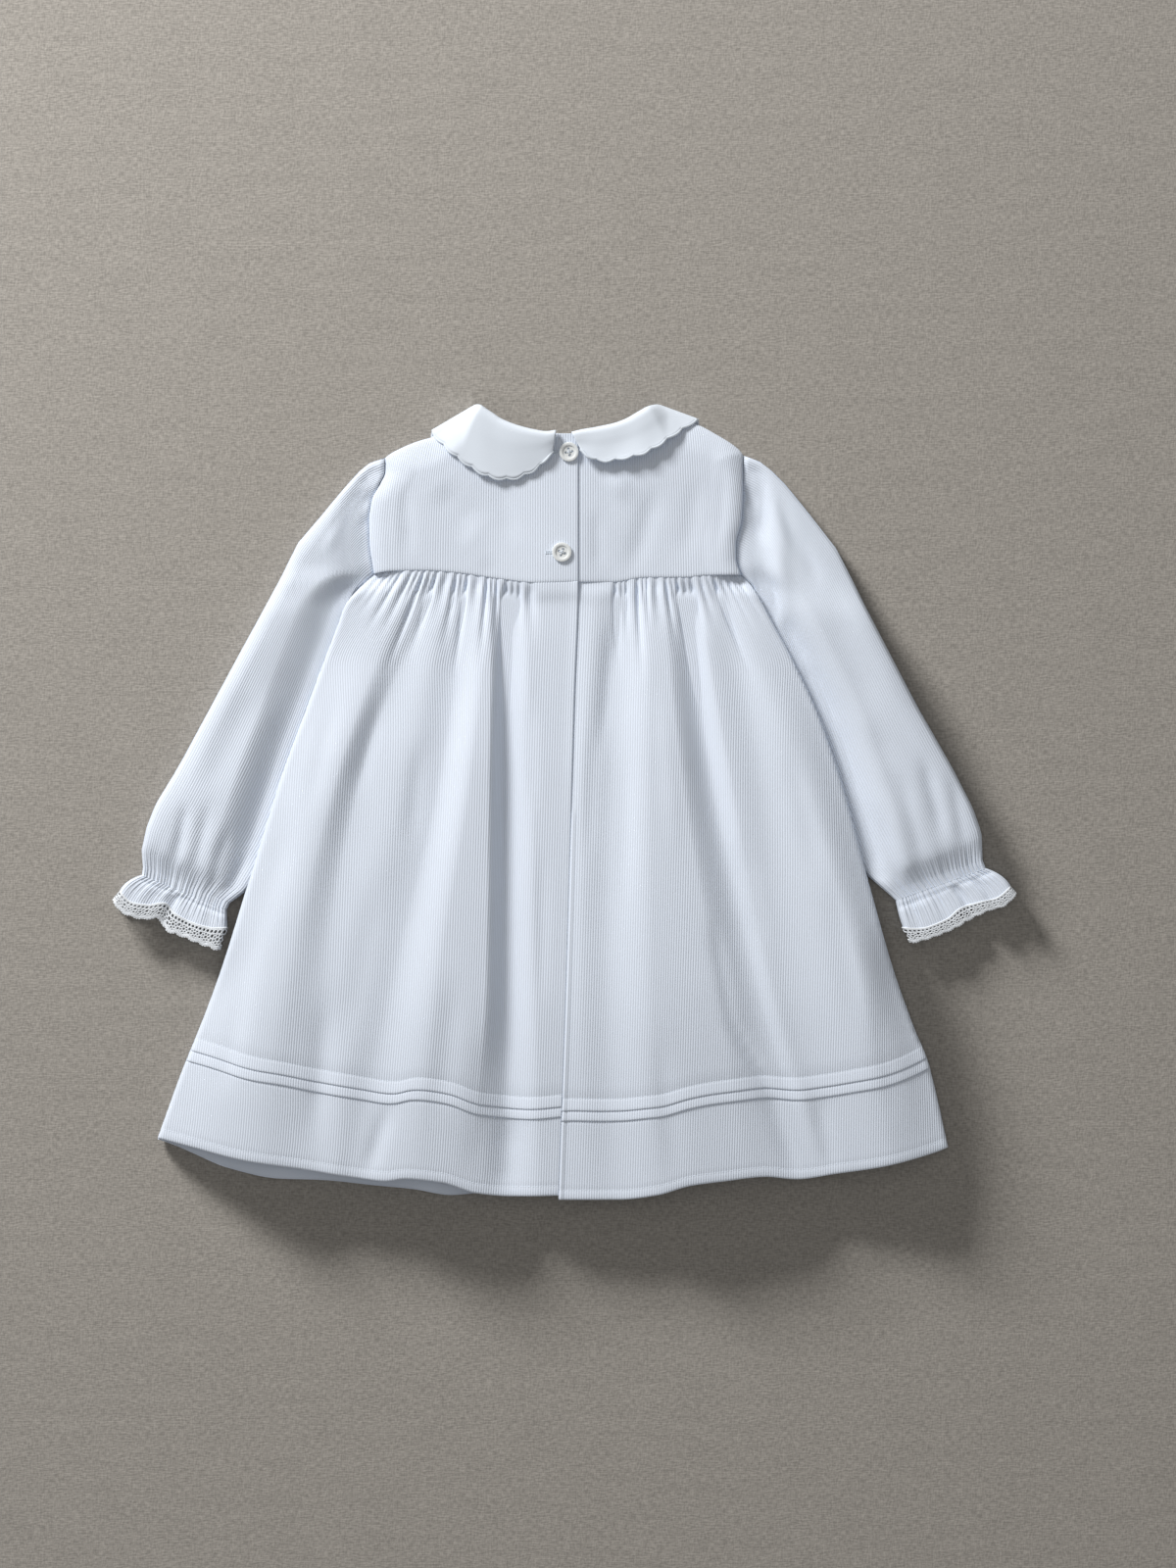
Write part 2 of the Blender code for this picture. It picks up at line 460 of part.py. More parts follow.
def front_skirt():
    """The front skirt, one piece across, which lies on the surface."""
    half = np.linspace(0, 1, FRONT_COLUMNS)
    rows = skirt_rows()
    xl, yl = panel(SKIRT_SIDE["left"], CENTRE_FRONT, YOKE_SEAM, FRONT_HEM, half, rows)
    xr, yr = panel(SKIRT_SIDE["right"], CENTRE_FRONT, YOKE_SEAM, FRONT_HEM, half[::-1], rows)
    x, y = np.concatenate([xl, xr[:, 1:]], 1), np.concatenate([yl, yr[:, 1:]], 1)
    rise = front_skirt_rise(x, y)
    y[0] -= SEAM_GAP
    rise[-1] = np.minimum(rise[-1], rise[-2])
    flat_sheet("front_skirt", x, y, rise + CORD_WALL, CORD_WALL, rise)


def back_yoke_top(x, y, lapped):
    """Top of the back yoke: low at armholes and shoulders, high over the chest, the stand lapped over."""
    to_side = np.where(x < 0, x - read(ARMHOLE["left"], y), read(ARMHOLE["right"], y) - x)
    to_neck = read(BACK_NECK, x) - y
    low = front_yoke_rise(x, y) + CORD_WALL + SEAM_GAP + CORD_WALL + 0.2
    arch = YOKE_ARCH + YOKE_WAVE * np.sin(x / 19.0) * np.sin((y - 150) / 22.0)
    off_shoulder = to_neck + YOKE_SLOPE * (1 - ease(50, 66, np.abs(x)))
    near = np.clip(1 - np.minimum(to_side, off_shoulder) / YOKE_SLOPE, 0, 1)
    z = arch - (arch - np.minimum(low, arch)) * near ** 2 * ease(0, 0.5, near)
    if lapped:
        z = z + LAP_RISE * ease(*STAND_EDGE, x)
    return np.maximum(z, low)


def yoke_plan(side, centre, neck, columns, rows):
    """Plan of a yoke half: rows run down the armhole, columns from it to the centre edge."""
    s, part = np.array(columns), np.array(rows)[:, None]
    (top_y, top_x), (foot_y, foot_x) = ARMHOLE[side][0], ARMHOLE[side][-1]
    y_top = read(neck, top_x * (1 - s) + centre * s)
    y = y_top + (read(YOKE_SEAM, foot_x * (1 - s) + centre * s) - y_top) * part
    x = read(ARMHOLE[side], top_y + (foot_y - top_y) * part) * (1 - s) + centre * s
    return x, y


def back_yoke(side):
    """A back yoke half; the left one is lapped over the right one at the centre."""
    x, y = yoke_plan(side, YOKE_CENTRE[side], BACK_NECK, YOKE_COLUMNS[side], YOKE_ROWS)
    flat_sheet("back_yoke_" + side, x, y, back_yoke_top(x, y, side == "left"), CORD_WALL)


def front_yoke():
    """The front yoke, one piece across, under the back yoke."""
    xl, yl = yoke_plan("left", 0.0, FRONT_NECK, FRONT_YOKE_COLUMNS, FRONT_YOKE_ROWS)
    xr, yr = yoke_plan("right", 0.0, FRONT_NECK, FRONT_YOKE_COLUMNS[::-1], FRONT_YOKE_ROWS)
    x, y = np.concatenate([xl, xr[:, 1:]], 1), np.concatenate([yl, yr[:, 1:]], 1)
    rise = front_yoke_rise(x, y)
    flat_sheet("front_yoke", x, y, rise + CORD_WALL, CORD_WALL, rise)


def along(points, parts):
    """Points at parts of a line's length."""
    p = np.array(points, float)
    run = np.concatenate([[0], np.cumsum(np.hypot(*np.diff(p, axis=0).T))])
    run /= run[-1]
    return np.stack([np.interp(parts, run, p[:, k]) for k in (0, 1)], -1)


def tube_rings(outer_edge, inner_edge, height, wall, bend):
    """Rings of a tube pressed flat: across from its outer to its inner folded edge on top, then back below.

    outer_edge, inner_edge: (rings, 2) in plan. height: (rings, across up) of the top.
    bend: (rings, across up, 2) added in plan. Returns the outside and the inside rings.
    """
    up, down = np.array(ACROSS_UP), np.array(ACROSS_DOWN)
    w = np.concatenate([up, down])
    same = np.searchsorted(up, down)
    span = inner_edge - outer_edge
    plan = outer_edge[:, None] + w[None, :, None] * span[:, None] + np.concatenate([bend, bend[:, same]], 1)
    top = height.copy()
    top[:, 0] = top[:, -1] = FOLD_EDGE
    floor = np.where((down < 0.05) | (down > 0.95), FOLD_FLOOR, 0.0)
    z = np.concatenate([top, np.broadcast_to(floor, (len(top), len(down)))], 1)
    inset = np.clip(wall / np.hypot(span[:, 0], span[:, 1]), 0, 0.1)[:, None]
    w_in = inset + w[None] * (1 - 2 * inset)
    shift_in = np.array([[np.interp(places, up, ring[:, k]) for k in (0, 1)]
                         for places, ring in zip(w_in, bend)])
    plan_in = outer_edge[:, None] + w_in[..., None] * span[:, None] + shift_in.transpose(0, 2, 1)
    top_in = np.maximum(top - wall, wall + TUBE_HOLLOW)
    top_in[:, 0] = top_in[:, -1] = FOLD_EDGE
    floor_in = np.broadcast_to(floor + wall - 0.4 * floor, (len(top), len(down)))
    z_in = np.concatenate([top_in, floor_in], 1)
    return np.concatenate([plan, z[..., None]], -1), np.concatenate([plan_in, z_in[..., None]], -1)


def outward(side, line):
    """Direction in plan from a cuff line towards the hand."""
    across = np.subtract(line[1], line[0])
    sign = 1 if side == "left" else -1
    return sign * np.array([across[1], -across[0]]) / np.hypot(*across)


def cuff_height(w, tall):
    """Top of a pressed ring at the wrist: folded at both sides, rippled between by the gathers."""
    edge = 1 - (1 - np.clip(np.minimum(w, 1 - w) / CUFF_FOLD, 0, 1)) ** 2
    ripple = WRIST_GATHER * CUFF_RIPPLE * np.cos(np.pi * np.arange(len(w))) * (edge > 0.9)
    return FOLD_EDGE + (tall - FOLD_EDGE) * edge + ripple


def sleeve_height(side, x, y, part, w):
    """Top of a sleeve: a flat tube where the skirt lies over it, fuller outside, its sides folded."""
    near_skirt = np.abs(x) - np.abs(read(SKIRT_SIDE[side], np.minimum(y, SKIRT_SIDE[side][0][0])))
    near_yoke = np.abs(x) - np.abs(read(ARMHOLE[side], y))
    start, full, end, _ = LIFT_SPAN[side]
    base = OPEN_TUBE + (FLAT_TUBE - OPEN_TUBE) * ease(start - 8, full - 12, y)
    clear = np.where(y < end + 6, 1.0, ease(*CROWN_FROM_SKIRT, near_skirt))
    clear = np.where(y > start, ease(*CROWN_FROM_YOKE, near_yoke), clear)
    from_edge = np.minimum(w, 1 - w)
    rounding = np.clip(from_edge / SLEEVE_ROUND, 0, 1)
    crown = read(SLEEVE_CROWN, part) * clear * np.sqrt(np.clip(1 - (1 - rounding) ** 2, 0, 1))
    edge = 1 - (1 - np.clip(from_edge / SLEEVE_FOLD, 0, 1)) ** 2
    return FOLD_EDGE + (base - FOLD_EDGE) * edge + crown


def sleeve(side):
    """Sleeve with its elastic line and frill, all one piece of cloth."""
    parts, w = np.array(SLEEVE_RINGS), np.array(ACROSS_UP)
    outer, inner = along(SLEEVE_OUTER[side], parts), along(SLEEVE_INNER[side], parts)
    plan = outer[:, None] + w[None, :, None] * (inner - outer)[:, None]
    (top_y, _), (foot_y, _) = ARMHOLE[side][0], ARMHOLE[side][-1]
    level = top_y + (foot_y - top_y) * w
    edge_x = read(ARMHOLE[side], level) + SEAM_GAP * (-1 if side == "left" else 1)
    bend = (np.stack([edge_x, level], -1) - plan[0])[None] * (1 - ease(0, HEAD_BEND, parts))[:, None, None]
    x, y = np.moveaxis(plan + bend, -1, 0)
    ripple = WRIST_GATHER * np.cos(np.pi * np.arange(len(w))) * (np.minimum(w, 1 - w) > 0.05)
    height = sleeve_height(side, x, y, parts[:, None], w[None]) + ripple * ease(0.85, 1, parts)[:, None]
    outers, inners, heights, bends = [outer], [inner], [height], [bend]
    away = outward(side, ELASTIC[side])
    for line, amount, tall in CUFF_LINES:
        outers.append(np.array(line[side][:1]))
        inners.append(np.array(line[side][1:]))
        heights.append(cuff_height(w, tall)[None])
        bends.append((read(FRILL_WAVE[side], w, 1) * amount)[None, :, None] * away)
    out, ins = tube_rings(*map(np.concatenate, (outers, inners, heights)), SLEEVE_WALL, np.concatenate(bends))
    tube("sleeve_" + side, out, ins, WHITE_CORD, 0.9)


def lace(side):
    """Ring of lace on from the frill's edge."""
    w = np.array(ACROSS_UP)
    start, end = np.array(FRILL_END[side]), np.array(LACE_END[side])
    away = outward(side, start)
    edges, bends, heights = [], [], []
    for t in LACE_RINGS:
        edges.append(start * (1 - t) + end * t + away * SEAM_GAP * (1 - t))
        wander = read(FRILL_WAVE[side], w, 1) * (1 - t) + read(FRILL_WAVE[side], w, 2) * t
        bends.append(wander[:, None] * away)
        heights.append(cuff_height(w, FRILL_HEIGHT + (LACE_HEIGHT - FRILL_HEIGHT) * t))
    edges = np.array(edges)
    out, ins = tube_rings(edges[:, 0], edges[:, 1], np.array(heights), LACE_WALL, np.array(bends))
    tube("lace_" + side, out, ins, LACE_WHITE, 0.85)


def collar(side):
    """Collar half: from its seam over the roll and out to its edge, round the shoulder, flat in front."""
    columns = np.array(COLLAR[side], float)
    across = np.array(COLLAR_ACROSS, float)
    inner, outer = columns[:, None, :2], columns[:, None, 2:]
    plan = inner + across[None, :, :1] * (outer - inner)
    number = np.arange(len(columns))
    under = back_yoke_top(plan[..., 0], plan[..., 1], side == "left")
    stand_off = COLLAR_RISE[side] * across[None, :, 0] ** 2
    rise = across[None, :, 1] + stand_off * ease(0, 3, COLLAR_FOLD - number)[:, None]
    z = under + rise
    z = np.where(number[:, None] == COLLAR_FOLD, COLLAR_FOLD_HEIGHT, z)
    z = np.where(number[:, None] > COLLAR_FOLD, 0.0, z)
    top = np.concatenate([plan, z[..., None]], -1)
    du, dv = np.gradient(top, axis=0), np.gradient(top, axis=1)
    normal = np.cross(du, dv)
    normal /= np.maximum(np.linalg.norm(normal, axis=-1, keepdims=True), 1e-9)
    if normal[3, -2, 2] > 0:
        normal = -normal
    normal[number > COLLAR_FOLD] = (0, 0, 1)
    under = top + COTTON_WALL * normal
    sheet("collar_" + side, top, under, colour=WHITE_COTTON, roughness=0.8)


def button(name):
    """Turned button with a raised rim, pierced by four holes."""
    turn = np.arange(BUTTON_SIDES) * 2 * np.pi / BUTTON_SIDES
    x0, y0 = BUTTON_AT[name]
    z0 = float(back_yoke_top(np.array(x0), np.array(y0), True)) + SEAM_GAP
    rings = [np.stack([r * np.cos(turn), r * np.sin(turn), np.full(BUTTON_SIDES, h)], -1)
             for r, h in BUTTON_PROFILE[1:]]
    points = np.concatenate(rings + [np.array([[0, 0, BUTTON_PROFILE[0][1]], [0, 0, 0]])])
    points = points + (x0, y0, z0)
    n, last = BUTTON_SIDES, len(rings) - 1
    a = np.arange(n)
    b = np.roll(a, -1)
    faces = [tuple(f) for f in grid_faces(len(rings), n, 0, True)]
    faces += [(int(i), int(j), len(rings) * n) for i, j in zip(b, a)]
    faces += [(int(i) + last * n, int(j) + last * n, len(rings) * n + 1) for i, j in zip(a, b)]
    body = make("button_" + name, points, faces, IVORY, 0.35, smooth=True)
    bpy.context.view_layer.update()
    for k, (dx, dy) in enumerate(((1, 1), (-1, 1), (-1, -1), (1, -1))):
        bpy.ops.mesh.primitive_cylinder_add(vertices=10, radius=HOLE_RADIUS * MM, depth=8 * MM, location=(
            (x0 + dx * HOLE_PITCH) * MM, (y0 + dy * HOLE_PITCH) * MM, (z0 + 1) * MM))
        cutter = bpy.context.object
        cutter.name = f"hole_{name}_{k}"
        cutter.hide_render = True
        cutter.display_type = "WIRE"
        cut = body.modifiers.new(f"Hole {k + 1}", "BOOLEAN")
        cut.operation = "DIFFERENCE"
        cut.object = cutter


def main():
    for obj in list(bpy.data.objects):
        bpy.data.objects.remove(obj, do_unlink=True)
    front_yoke()
    front_skirt()
    for side in ("left", "right"):
        back_yoke(side)
        back_skirt(side)
        sleeve(side)
        lace(side)
        collar(side)
    for name in BUTTON_AT:
        button(name)


main()
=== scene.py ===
"""Looks of the toddler's needlecord dress that lies flat with its buttoned back upward.

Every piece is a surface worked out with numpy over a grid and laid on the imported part's frame.
Shapes are in millimetres in the part's axes, +Y to the neck and +Z up, and become metres as each
mesh is made. Cloth is laid row by row: a row is a line across the piece, and the corduroy's wales
stand at even lengths along it, so that they run into the gathers and over the folds as woven cloth does.
"""
import json

import bpy
import numpy as np
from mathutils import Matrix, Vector

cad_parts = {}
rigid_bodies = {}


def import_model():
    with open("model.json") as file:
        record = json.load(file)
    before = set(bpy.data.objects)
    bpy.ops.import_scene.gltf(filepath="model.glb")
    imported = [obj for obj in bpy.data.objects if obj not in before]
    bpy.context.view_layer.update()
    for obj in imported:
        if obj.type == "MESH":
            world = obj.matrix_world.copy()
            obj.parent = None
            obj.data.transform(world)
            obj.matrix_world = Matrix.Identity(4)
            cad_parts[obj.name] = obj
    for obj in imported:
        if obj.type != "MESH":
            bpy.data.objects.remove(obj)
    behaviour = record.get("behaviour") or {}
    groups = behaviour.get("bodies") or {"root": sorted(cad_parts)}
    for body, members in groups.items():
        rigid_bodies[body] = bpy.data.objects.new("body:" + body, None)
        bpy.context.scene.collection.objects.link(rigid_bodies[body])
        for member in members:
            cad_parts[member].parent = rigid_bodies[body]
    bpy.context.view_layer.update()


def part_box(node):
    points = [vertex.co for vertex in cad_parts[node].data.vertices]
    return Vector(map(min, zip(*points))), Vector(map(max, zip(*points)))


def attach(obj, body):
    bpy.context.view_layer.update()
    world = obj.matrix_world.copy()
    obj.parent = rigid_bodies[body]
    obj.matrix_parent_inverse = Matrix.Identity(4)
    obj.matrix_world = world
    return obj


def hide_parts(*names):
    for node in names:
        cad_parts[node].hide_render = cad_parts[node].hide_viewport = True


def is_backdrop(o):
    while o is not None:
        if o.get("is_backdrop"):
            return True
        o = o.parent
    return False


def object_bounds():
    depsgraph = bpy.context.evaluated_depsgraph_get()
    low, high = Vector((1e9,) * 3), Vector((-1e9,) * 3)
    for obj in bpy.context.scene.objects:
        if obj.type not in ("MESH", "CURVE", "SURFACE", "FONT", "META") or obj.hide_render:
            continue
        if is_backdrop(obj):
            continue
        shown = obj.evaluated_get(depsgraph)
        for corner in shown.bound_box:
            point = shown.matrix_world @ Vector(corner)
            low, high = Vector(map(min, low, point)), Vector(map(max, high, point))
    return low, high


bl_info = {
    "name": "Needlecord dress",
    "version": (1, 0, 0),
    "blender": (4, 5, 0),
    "location": "View3D > Sidebar > Dress",
    "description": "Toddler's dress in white needlecord with a scalloped collar, gathers, tucks and lace",
    "category": "Object",
}

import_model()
MM = 0.001
BODY = "root"
SIDES = ("left", "right")

# ---------------------------------------------------------------- pattern

# Edges, as (y, x) down the piece.
SKIRT_SIDE = {
    "left": ((144.5, -120.9), (133.9, -131.4), (124.6, -138.9), (112, -143.6), (88.7, -152.5), (62, -162.4),
             (24, -176.7), (-51.5, -200.3), (-96.7, -214.5), (-137.6, -229.4), (-168, -241.8),
             (-213.5, -258.3)),
    "right": ((143.8, 112), (137, 118.4), (124.6, 125.8), (111.6, 132.7), (89.9, 144.5), (52.7, 161.8),
              (4.3, 177.9), (-47.1, 191.6), (-103.5, 207.7), (-143.8, 222), (-167.4, 231.3), (-219.5, 243.5)),
}
ARMHOLE = {
    "left": ((218.2, -114.1), (209.6, -114.1), (202, -117.2), (191, -122.4), (178.6, -124), (163, -123.7),
             (150.7, -122.1), (144.5, -120.9)),
    "right": ((219.5, 113.8), (209, 113.4), (194, 113.2), (179, 112.4), (163, 109), (155, 109), (143.8, 112)),
}
STAND_X = 8.7            # edge of the left half's button stand, which lies on top
UNDERLAP_X = -16.7       # edge of the right yoke under it
CENTRE_BACK = ((240, STAND_X), (139, STAND_X), (69.4, 6.4), (-6.2, 4.3), (-113.5, 1.2), (-250.5, -3.7))
CENTRE_FRONT = ((240, 0), (-251, 0))
# Edges, as (x, y) across the piece.
YOKE_SEAM = ((-120.9, 144.5), (-110.4, 146.1), (-89.3, 146.5), (-69.4, 145.1), (-43.4, 141.4), (-17.4, 138.6),
             (STAND_X, 139.1), (30.4, 139.1), (51.5, 142), (77.5, 142.1), (89.3, 143.4), (112, 143.8))
HEM = {
    "left": ((-258.3, -213.5), (-236.8, -218.9), (-202.7, -227.3), (-168, -232.5), (-132.7, -238.1),
             (-112.8, -240.3), (-100.4, -238.7), (-77.5, -240.9), (-53.9, -248), (-32.9, -250.1),
             (-3.7, -249.4)),
    "right": ((-3.7, -252.1), (35.3, -252), (59.5, -249), (80.6, -243), (101.7, -240.2), (127.7, -237.5),
              (147.6, -239.3), (171.1, -235.9), (199, -231.6), (233.7, -222.9), (243.5, -219.5)),
}
FRONT_HEM = ((-258.3, -214.5), (-247.4, -218.4), (-235.6, -223.6), (-214.5, -232.5), (-182.3, -239.3),
             (-152.5, -240.5), (-121.5, -243.7), (-94.9, -246.3), (-71.9, -249.9), (-53.9, -248.6),
             (-20, -247.5), (30, -248.5), (80, -241), (150, -234.5), (200, -228.5), (243.5, -217.5))
LEFT_SHOULDER = ((-114.1, 218.2), (-109.1, 221.6), (-96.7, 227.3), (-90, 229.6), (-84, 231.2), (-78, 234.6))
RIGHT_SHOULDER = ((74, 242.6), (84, 239.4), (95.5, 233.4), (110.5, 223.6), (113.8, 219.5))
BACK_NECK = LEFT_SHOULDER + (
    (-62, 244.4), (-57, 245.4), (-50, 241.5), (-40, 236.8), (-28, 232.6), (-14, 230), (STAND_X, 229.5),
    (24, 232.6), (36, 235.8), (44, 239.4), (50, 242.6), (57, 246.2), (62, 246.8)) + RIGHT_SHOULDER
FRONT_NECK = LEFT_SHOULDER + (
    (-62, 244.2), (-57, 244), (-52, 236), (-44, 222), (-32, 212), (-16, 206.5), (0, 205), (16, 206.5),
    (32, 212), (44, 222), (52, 236), (57, 245), (62, 246.6)) + RIGHT_SHOULDER

# Crest and trough lines of the back skirt: x at each level of y (None for the centre back), height at each
# level, and how much of the height's difference from the level's mean the cloth keeps.
FOLD_LEVELS = (141, 100, 20, -110, -246)
FOLD_MEANS = (9.3, 11, 15, 16.5, 10)
FOLDS = {
    "left": (
        ((-99, -115, -143, -175, -195), (10.5, 14, 21, 20, 11), 0.55),    # crest side
        ((-81, -98, -127, -151, -160), (8, 8.5, 11, 14, 8), 0.45),    # trough 1
        ((-73, -82, -100, -131, -146), (10, 12, 15.5, 16.5, 9.8), 0.5),    # crest 2
        ((-66, -68, -79, -109, -137), (8.2, 9, 12, 13.5, 9), 0.5),    # trough 2
        ((-55, -51, -58, -78, -92), (10.5, 15, 22.5, 24, 13.5), 0.8),    # crest 3
        ((-47, -47, -48, -50, -62), (10, 14.4, 21.5, 22.5, 12), 0.85),    # shoulder 3
        ((-37, -37, -37, -36, -35), (7.4, 7, 8, 9.5, 7), 0.85),    # trough 3
        ((-22, -22, -19, -17, -15), (10, 12.5, 14.5, 16.5, 10.5), 0.8),    # crest 4
        (None, (10.5, 12, 14, 16, 10), 0.8),    # centre
    ),
    "right": (
        (None, (9.3, 10.9, 13.1, 15.5, 9.5), 0.8),    # centre
        ((19, 17, 13, 12, 15), (9.5, 12.5, 15, 17, 10.5), 0.7),    # crest 5
        ((36, 34, 29, 25, 29), (8, 9, 12.5, 16, 10), 0.7),    # trough 5
        ((50, 55, 55, 56, 63), (10.5, 15, 21, 24, 13.5), 0.75),    # crest 6
        ((64, 65, 73, 94, 115), (10, 14.4, 20.5, 22, 11.5), 0.75),    # shoulder 6
        ((77, 81, 92, 119, 158), (7.4, 6.6, 8.3, 12.3, 7.4), 0.8),    # trough 6
        ((87, 91, 105, 130, 170), (10, 12.5, 15, 15, 8.8), 0.7),    # crest 7
        ((99, 107, 123, 140, 177), (8.2, 9.4, 12, 14, 8.4), 0.6),    # trough 7
        ((107, 120, 148, 185, 207), (9.8, 12.8, 18.5, 21, 11), 0.6),    # crest 8
    ),
}
# Gathers at the yoke: x of the trough on the seam, depth, length down, and sideways drift on the way.
GATHERS = {
    "left": ((-115.5, 2.2, 26, -3), (-110.7, 2.8, 30, -4), (-106.5, 2.4, 22, -2), (-102.9, 3.2, 40, -4),
             (-96.1, 3.0, 44, -3), (-92.0, 2.6, 26, -2), (-88.7, 4.2, 70, -2), (-84.4, 2.8, 30, 0),
             (-80.6, 4.2, 58, -2), (-74.4, 3.2, 36, 1), (-68.2, 3.6, 52, 0), (-64.6, 2.6, 24, 1),
             (-61.4, 4.2, 70, 0), (-55.2, 3.2, 34, 1), (-49, 4.0, 60, 0), (-45.6, 2.6, 26, 1),
             (-42.8, 3.2, 44, 1), (-36.6, 4.4, 80, 0), (-32.4, 2.8, 32, 1), (-28.5, 3.2, 40, 1),
             (-21.7, 2.8, 44, 2)),
    "right": ((32.2, 3.6, 62, 0), (36.2, 2.6, 24, 0), (39.1, 3.0, 40, -1), (45.9, 4.0, 70, 0),
              (49.6, 2.6, 26, 0), (52.1, 3.0, 36, -1), (57.7, 3.2, 40, 0), (63.9, 3.6, 50, 1),
              (67.4, 2.6, 26, 1), (70.7, 4.4, 80, 1), (75.4, 2.8, 32, 0), (79.4, 3.8, 44, 1),
              (85.6, 3.2, 36, 1), (89.8, 2.6, 24, 2), (93.6, 4.2, 76, 2), (97.8, 2.6, 30, 2),
              (101.7, 3.2, 40, 3), (105.2, 2.4, 24, 3), (107.9, 2.6, 34, 4)),
}
GATHER_REACH = 0.36      # half-width of a gather's slit, as a part of the way to its neighbour
GATHERED = 0.3           # how much more cloth lies along the seam than its length, and how far down that goes
GATHERED_DOWN = 65
GATHER_LEAN = ((-121, -0.62), (-85, -0.32), (-50, -0.08), (0, 0.0), (50, 0.06), (85, 0.28), (112, 0.55))
SEAM_BLEND = 13          # the skirt leaves the yoke's height over this much of its length
SEAM_PUFF = (0.7, 7, 5)  # the gathers' bulge under the seam: height, place and half-length

# Soft creases of the back skirt: from x, y to x, y, depth (below 0 a ridge) and half-width.
SKIRT_CREASES = (
    (-146, 60, -160, 0, 1.0, 7), (-118, 60, -130, 10, 0.8, 6), (-176, -20, -196, -100, 1.2, 9),
    (-205, -130, -216, -176, 0.9, 8), (-92, 30, -97, -20, 0.8, 6), (-120, -60, -138, -150, 1.0, 9),
    (-150, -130, -158, -205, 1.3, 8), (-112, -196, -124, -232, 1.3, 6), (-70, -120, -78, -190, 0.9, 8),
    (-48, -150, -58, -238, 1.0, 7), (-36, -205, -37, -244, 1.6, 9), (-22, 60, -20, 0, 0.7, 4),
    (-14, -40, -15, -120, 0.6, 5), (18, 40, 15, -30, 0.6, 5), (30, 110, 24, 40, 1.0, 5),
    (40, 30, 38, -60, 0.7, 6), (63, 60, 70, -20, -0.6, 6), (94, -82, 105, -138, 1.2, 5),
    (105, -138, 127, -177, 1.4, 5), (127, -177, 147, -238, 1.5, 7), (112, -30, 124, -90, 0.8, 7),
    (143, 30, 160, -40, 0.9, 7), (170, -60, 186, -140, 1.0, 9), (195, -130, 208, -190, 0.9, 8),
    (160, -190, 168, -234, 1.2, 7), (60, -160, 70, -230, 0.8, 8), (-185, -60, -200, -150, -0.7, 8),
)
TUCK_STITCH = 64.0       # above the hem
STITCHED_ROWS = (64.1, 6.5)    # rows with stitches, of the tucks and of the hem, as heights above the hem
# The skirt below its tucks' stitching: above the hem, height over the panel, how much of the wales shows.
TUCK_ROWS = (
    (64.9, 0.0, 1), (64.3, -0.12, 1), (63.9, -0.12, 1), (63.3, 0.1, 1), (62, 0.25, 1), (60, 0.5, 1),
    (58, 0.7, 1), (56.9, 0.78, 1), (56.3, 0.74, 0.8), (56.1, 0.55, 0.5), (56.7, 0.3, 0.2), (57.3, 0.16, 0.1),
    (56.1, 0.14, 0.3), (55.5, 0.26, 1), (54, 0.45, 1), (52, 0.65, 1), (50.6, 0.76, 1), (49.9, 0.72, 0.8),
    (49.7, 0.5, 0.5), (50.3, 0.2, 0.2), (50.8, 0.05, 0.1), (49.7, -0.05, 0.3), (49.1, 0.0, 1), (47.5, 0.0, 1),
)
HEM_ROWS = (             # the same from the tucks down to the hem's edge
    (44, 0, 1), (39, 0, 1), (34, 0, 1), (29, 0, 1), (24, 0, 1), (19, 0, 1), (14.5, 0, 1), (10.5, 0, 1),
    (8, 0.02, 1), (6.9, -0.1, 1), (6.1, -0.1, 1), (5.2, 0.05, 1), (3.2, 0.1, 1), (1.4, 0.05, 1),
    (0.4, -0.15, 1), (0, -0.55, 0.6),
)
SKIRT_ROWS = 68          # rows of a back skirt half from the yoke to the tucks, and points along each
SKIRT_POINTS = 1500
SKIRT_EDGE = 4.2         # height at which the folds run out to the side
SIDE_LOW = 2.3           # height of the side where it meets the front skirt, and radius of its roll
SIDE_ROUND = 3.5
SLIT_FOOT = -6.2         # y where the placket's slit ends in the centre-back seam
UNDERLAP = 6.0           # how far the right half runs on under the left one above that
UNDER_YOKE = (1.6, 2.0)  # how deep and how far the skirt's top runs on under the yoke

# Ridges of the front skirt: x at the yoke and at the hem, height and half-width.
FRONT_RIDGES = ((-96, -185, 3.2, 16), (-56, -86, 3.5, 13), (10, 4, 2.6, 14), (56, 66, 3.5, 14),
                (104, 196, 3.2, 16))
FRONT_GATHERS = 17       # gathers in all, and their height
FRONT_GATHER_RISE = 1.6
FRONT_LENGTH = 390       # of the front skirt below the yoke
FRONT_ROWS = 44          # rows of the front skirt from the yoke to the tucks

# A sleeve's inner edge under the skirt lifts it: height; y where that begins, is whole, begins to end and is
# gone; how far in from the skirt's side it is whole and gone.
LIFT = 5.6
LIFT_SPAN = {"left": (144.5, 129, -78, -125), "right": (143.8, 129, -70, -118)}
LIFT_INSET = (13, 25)

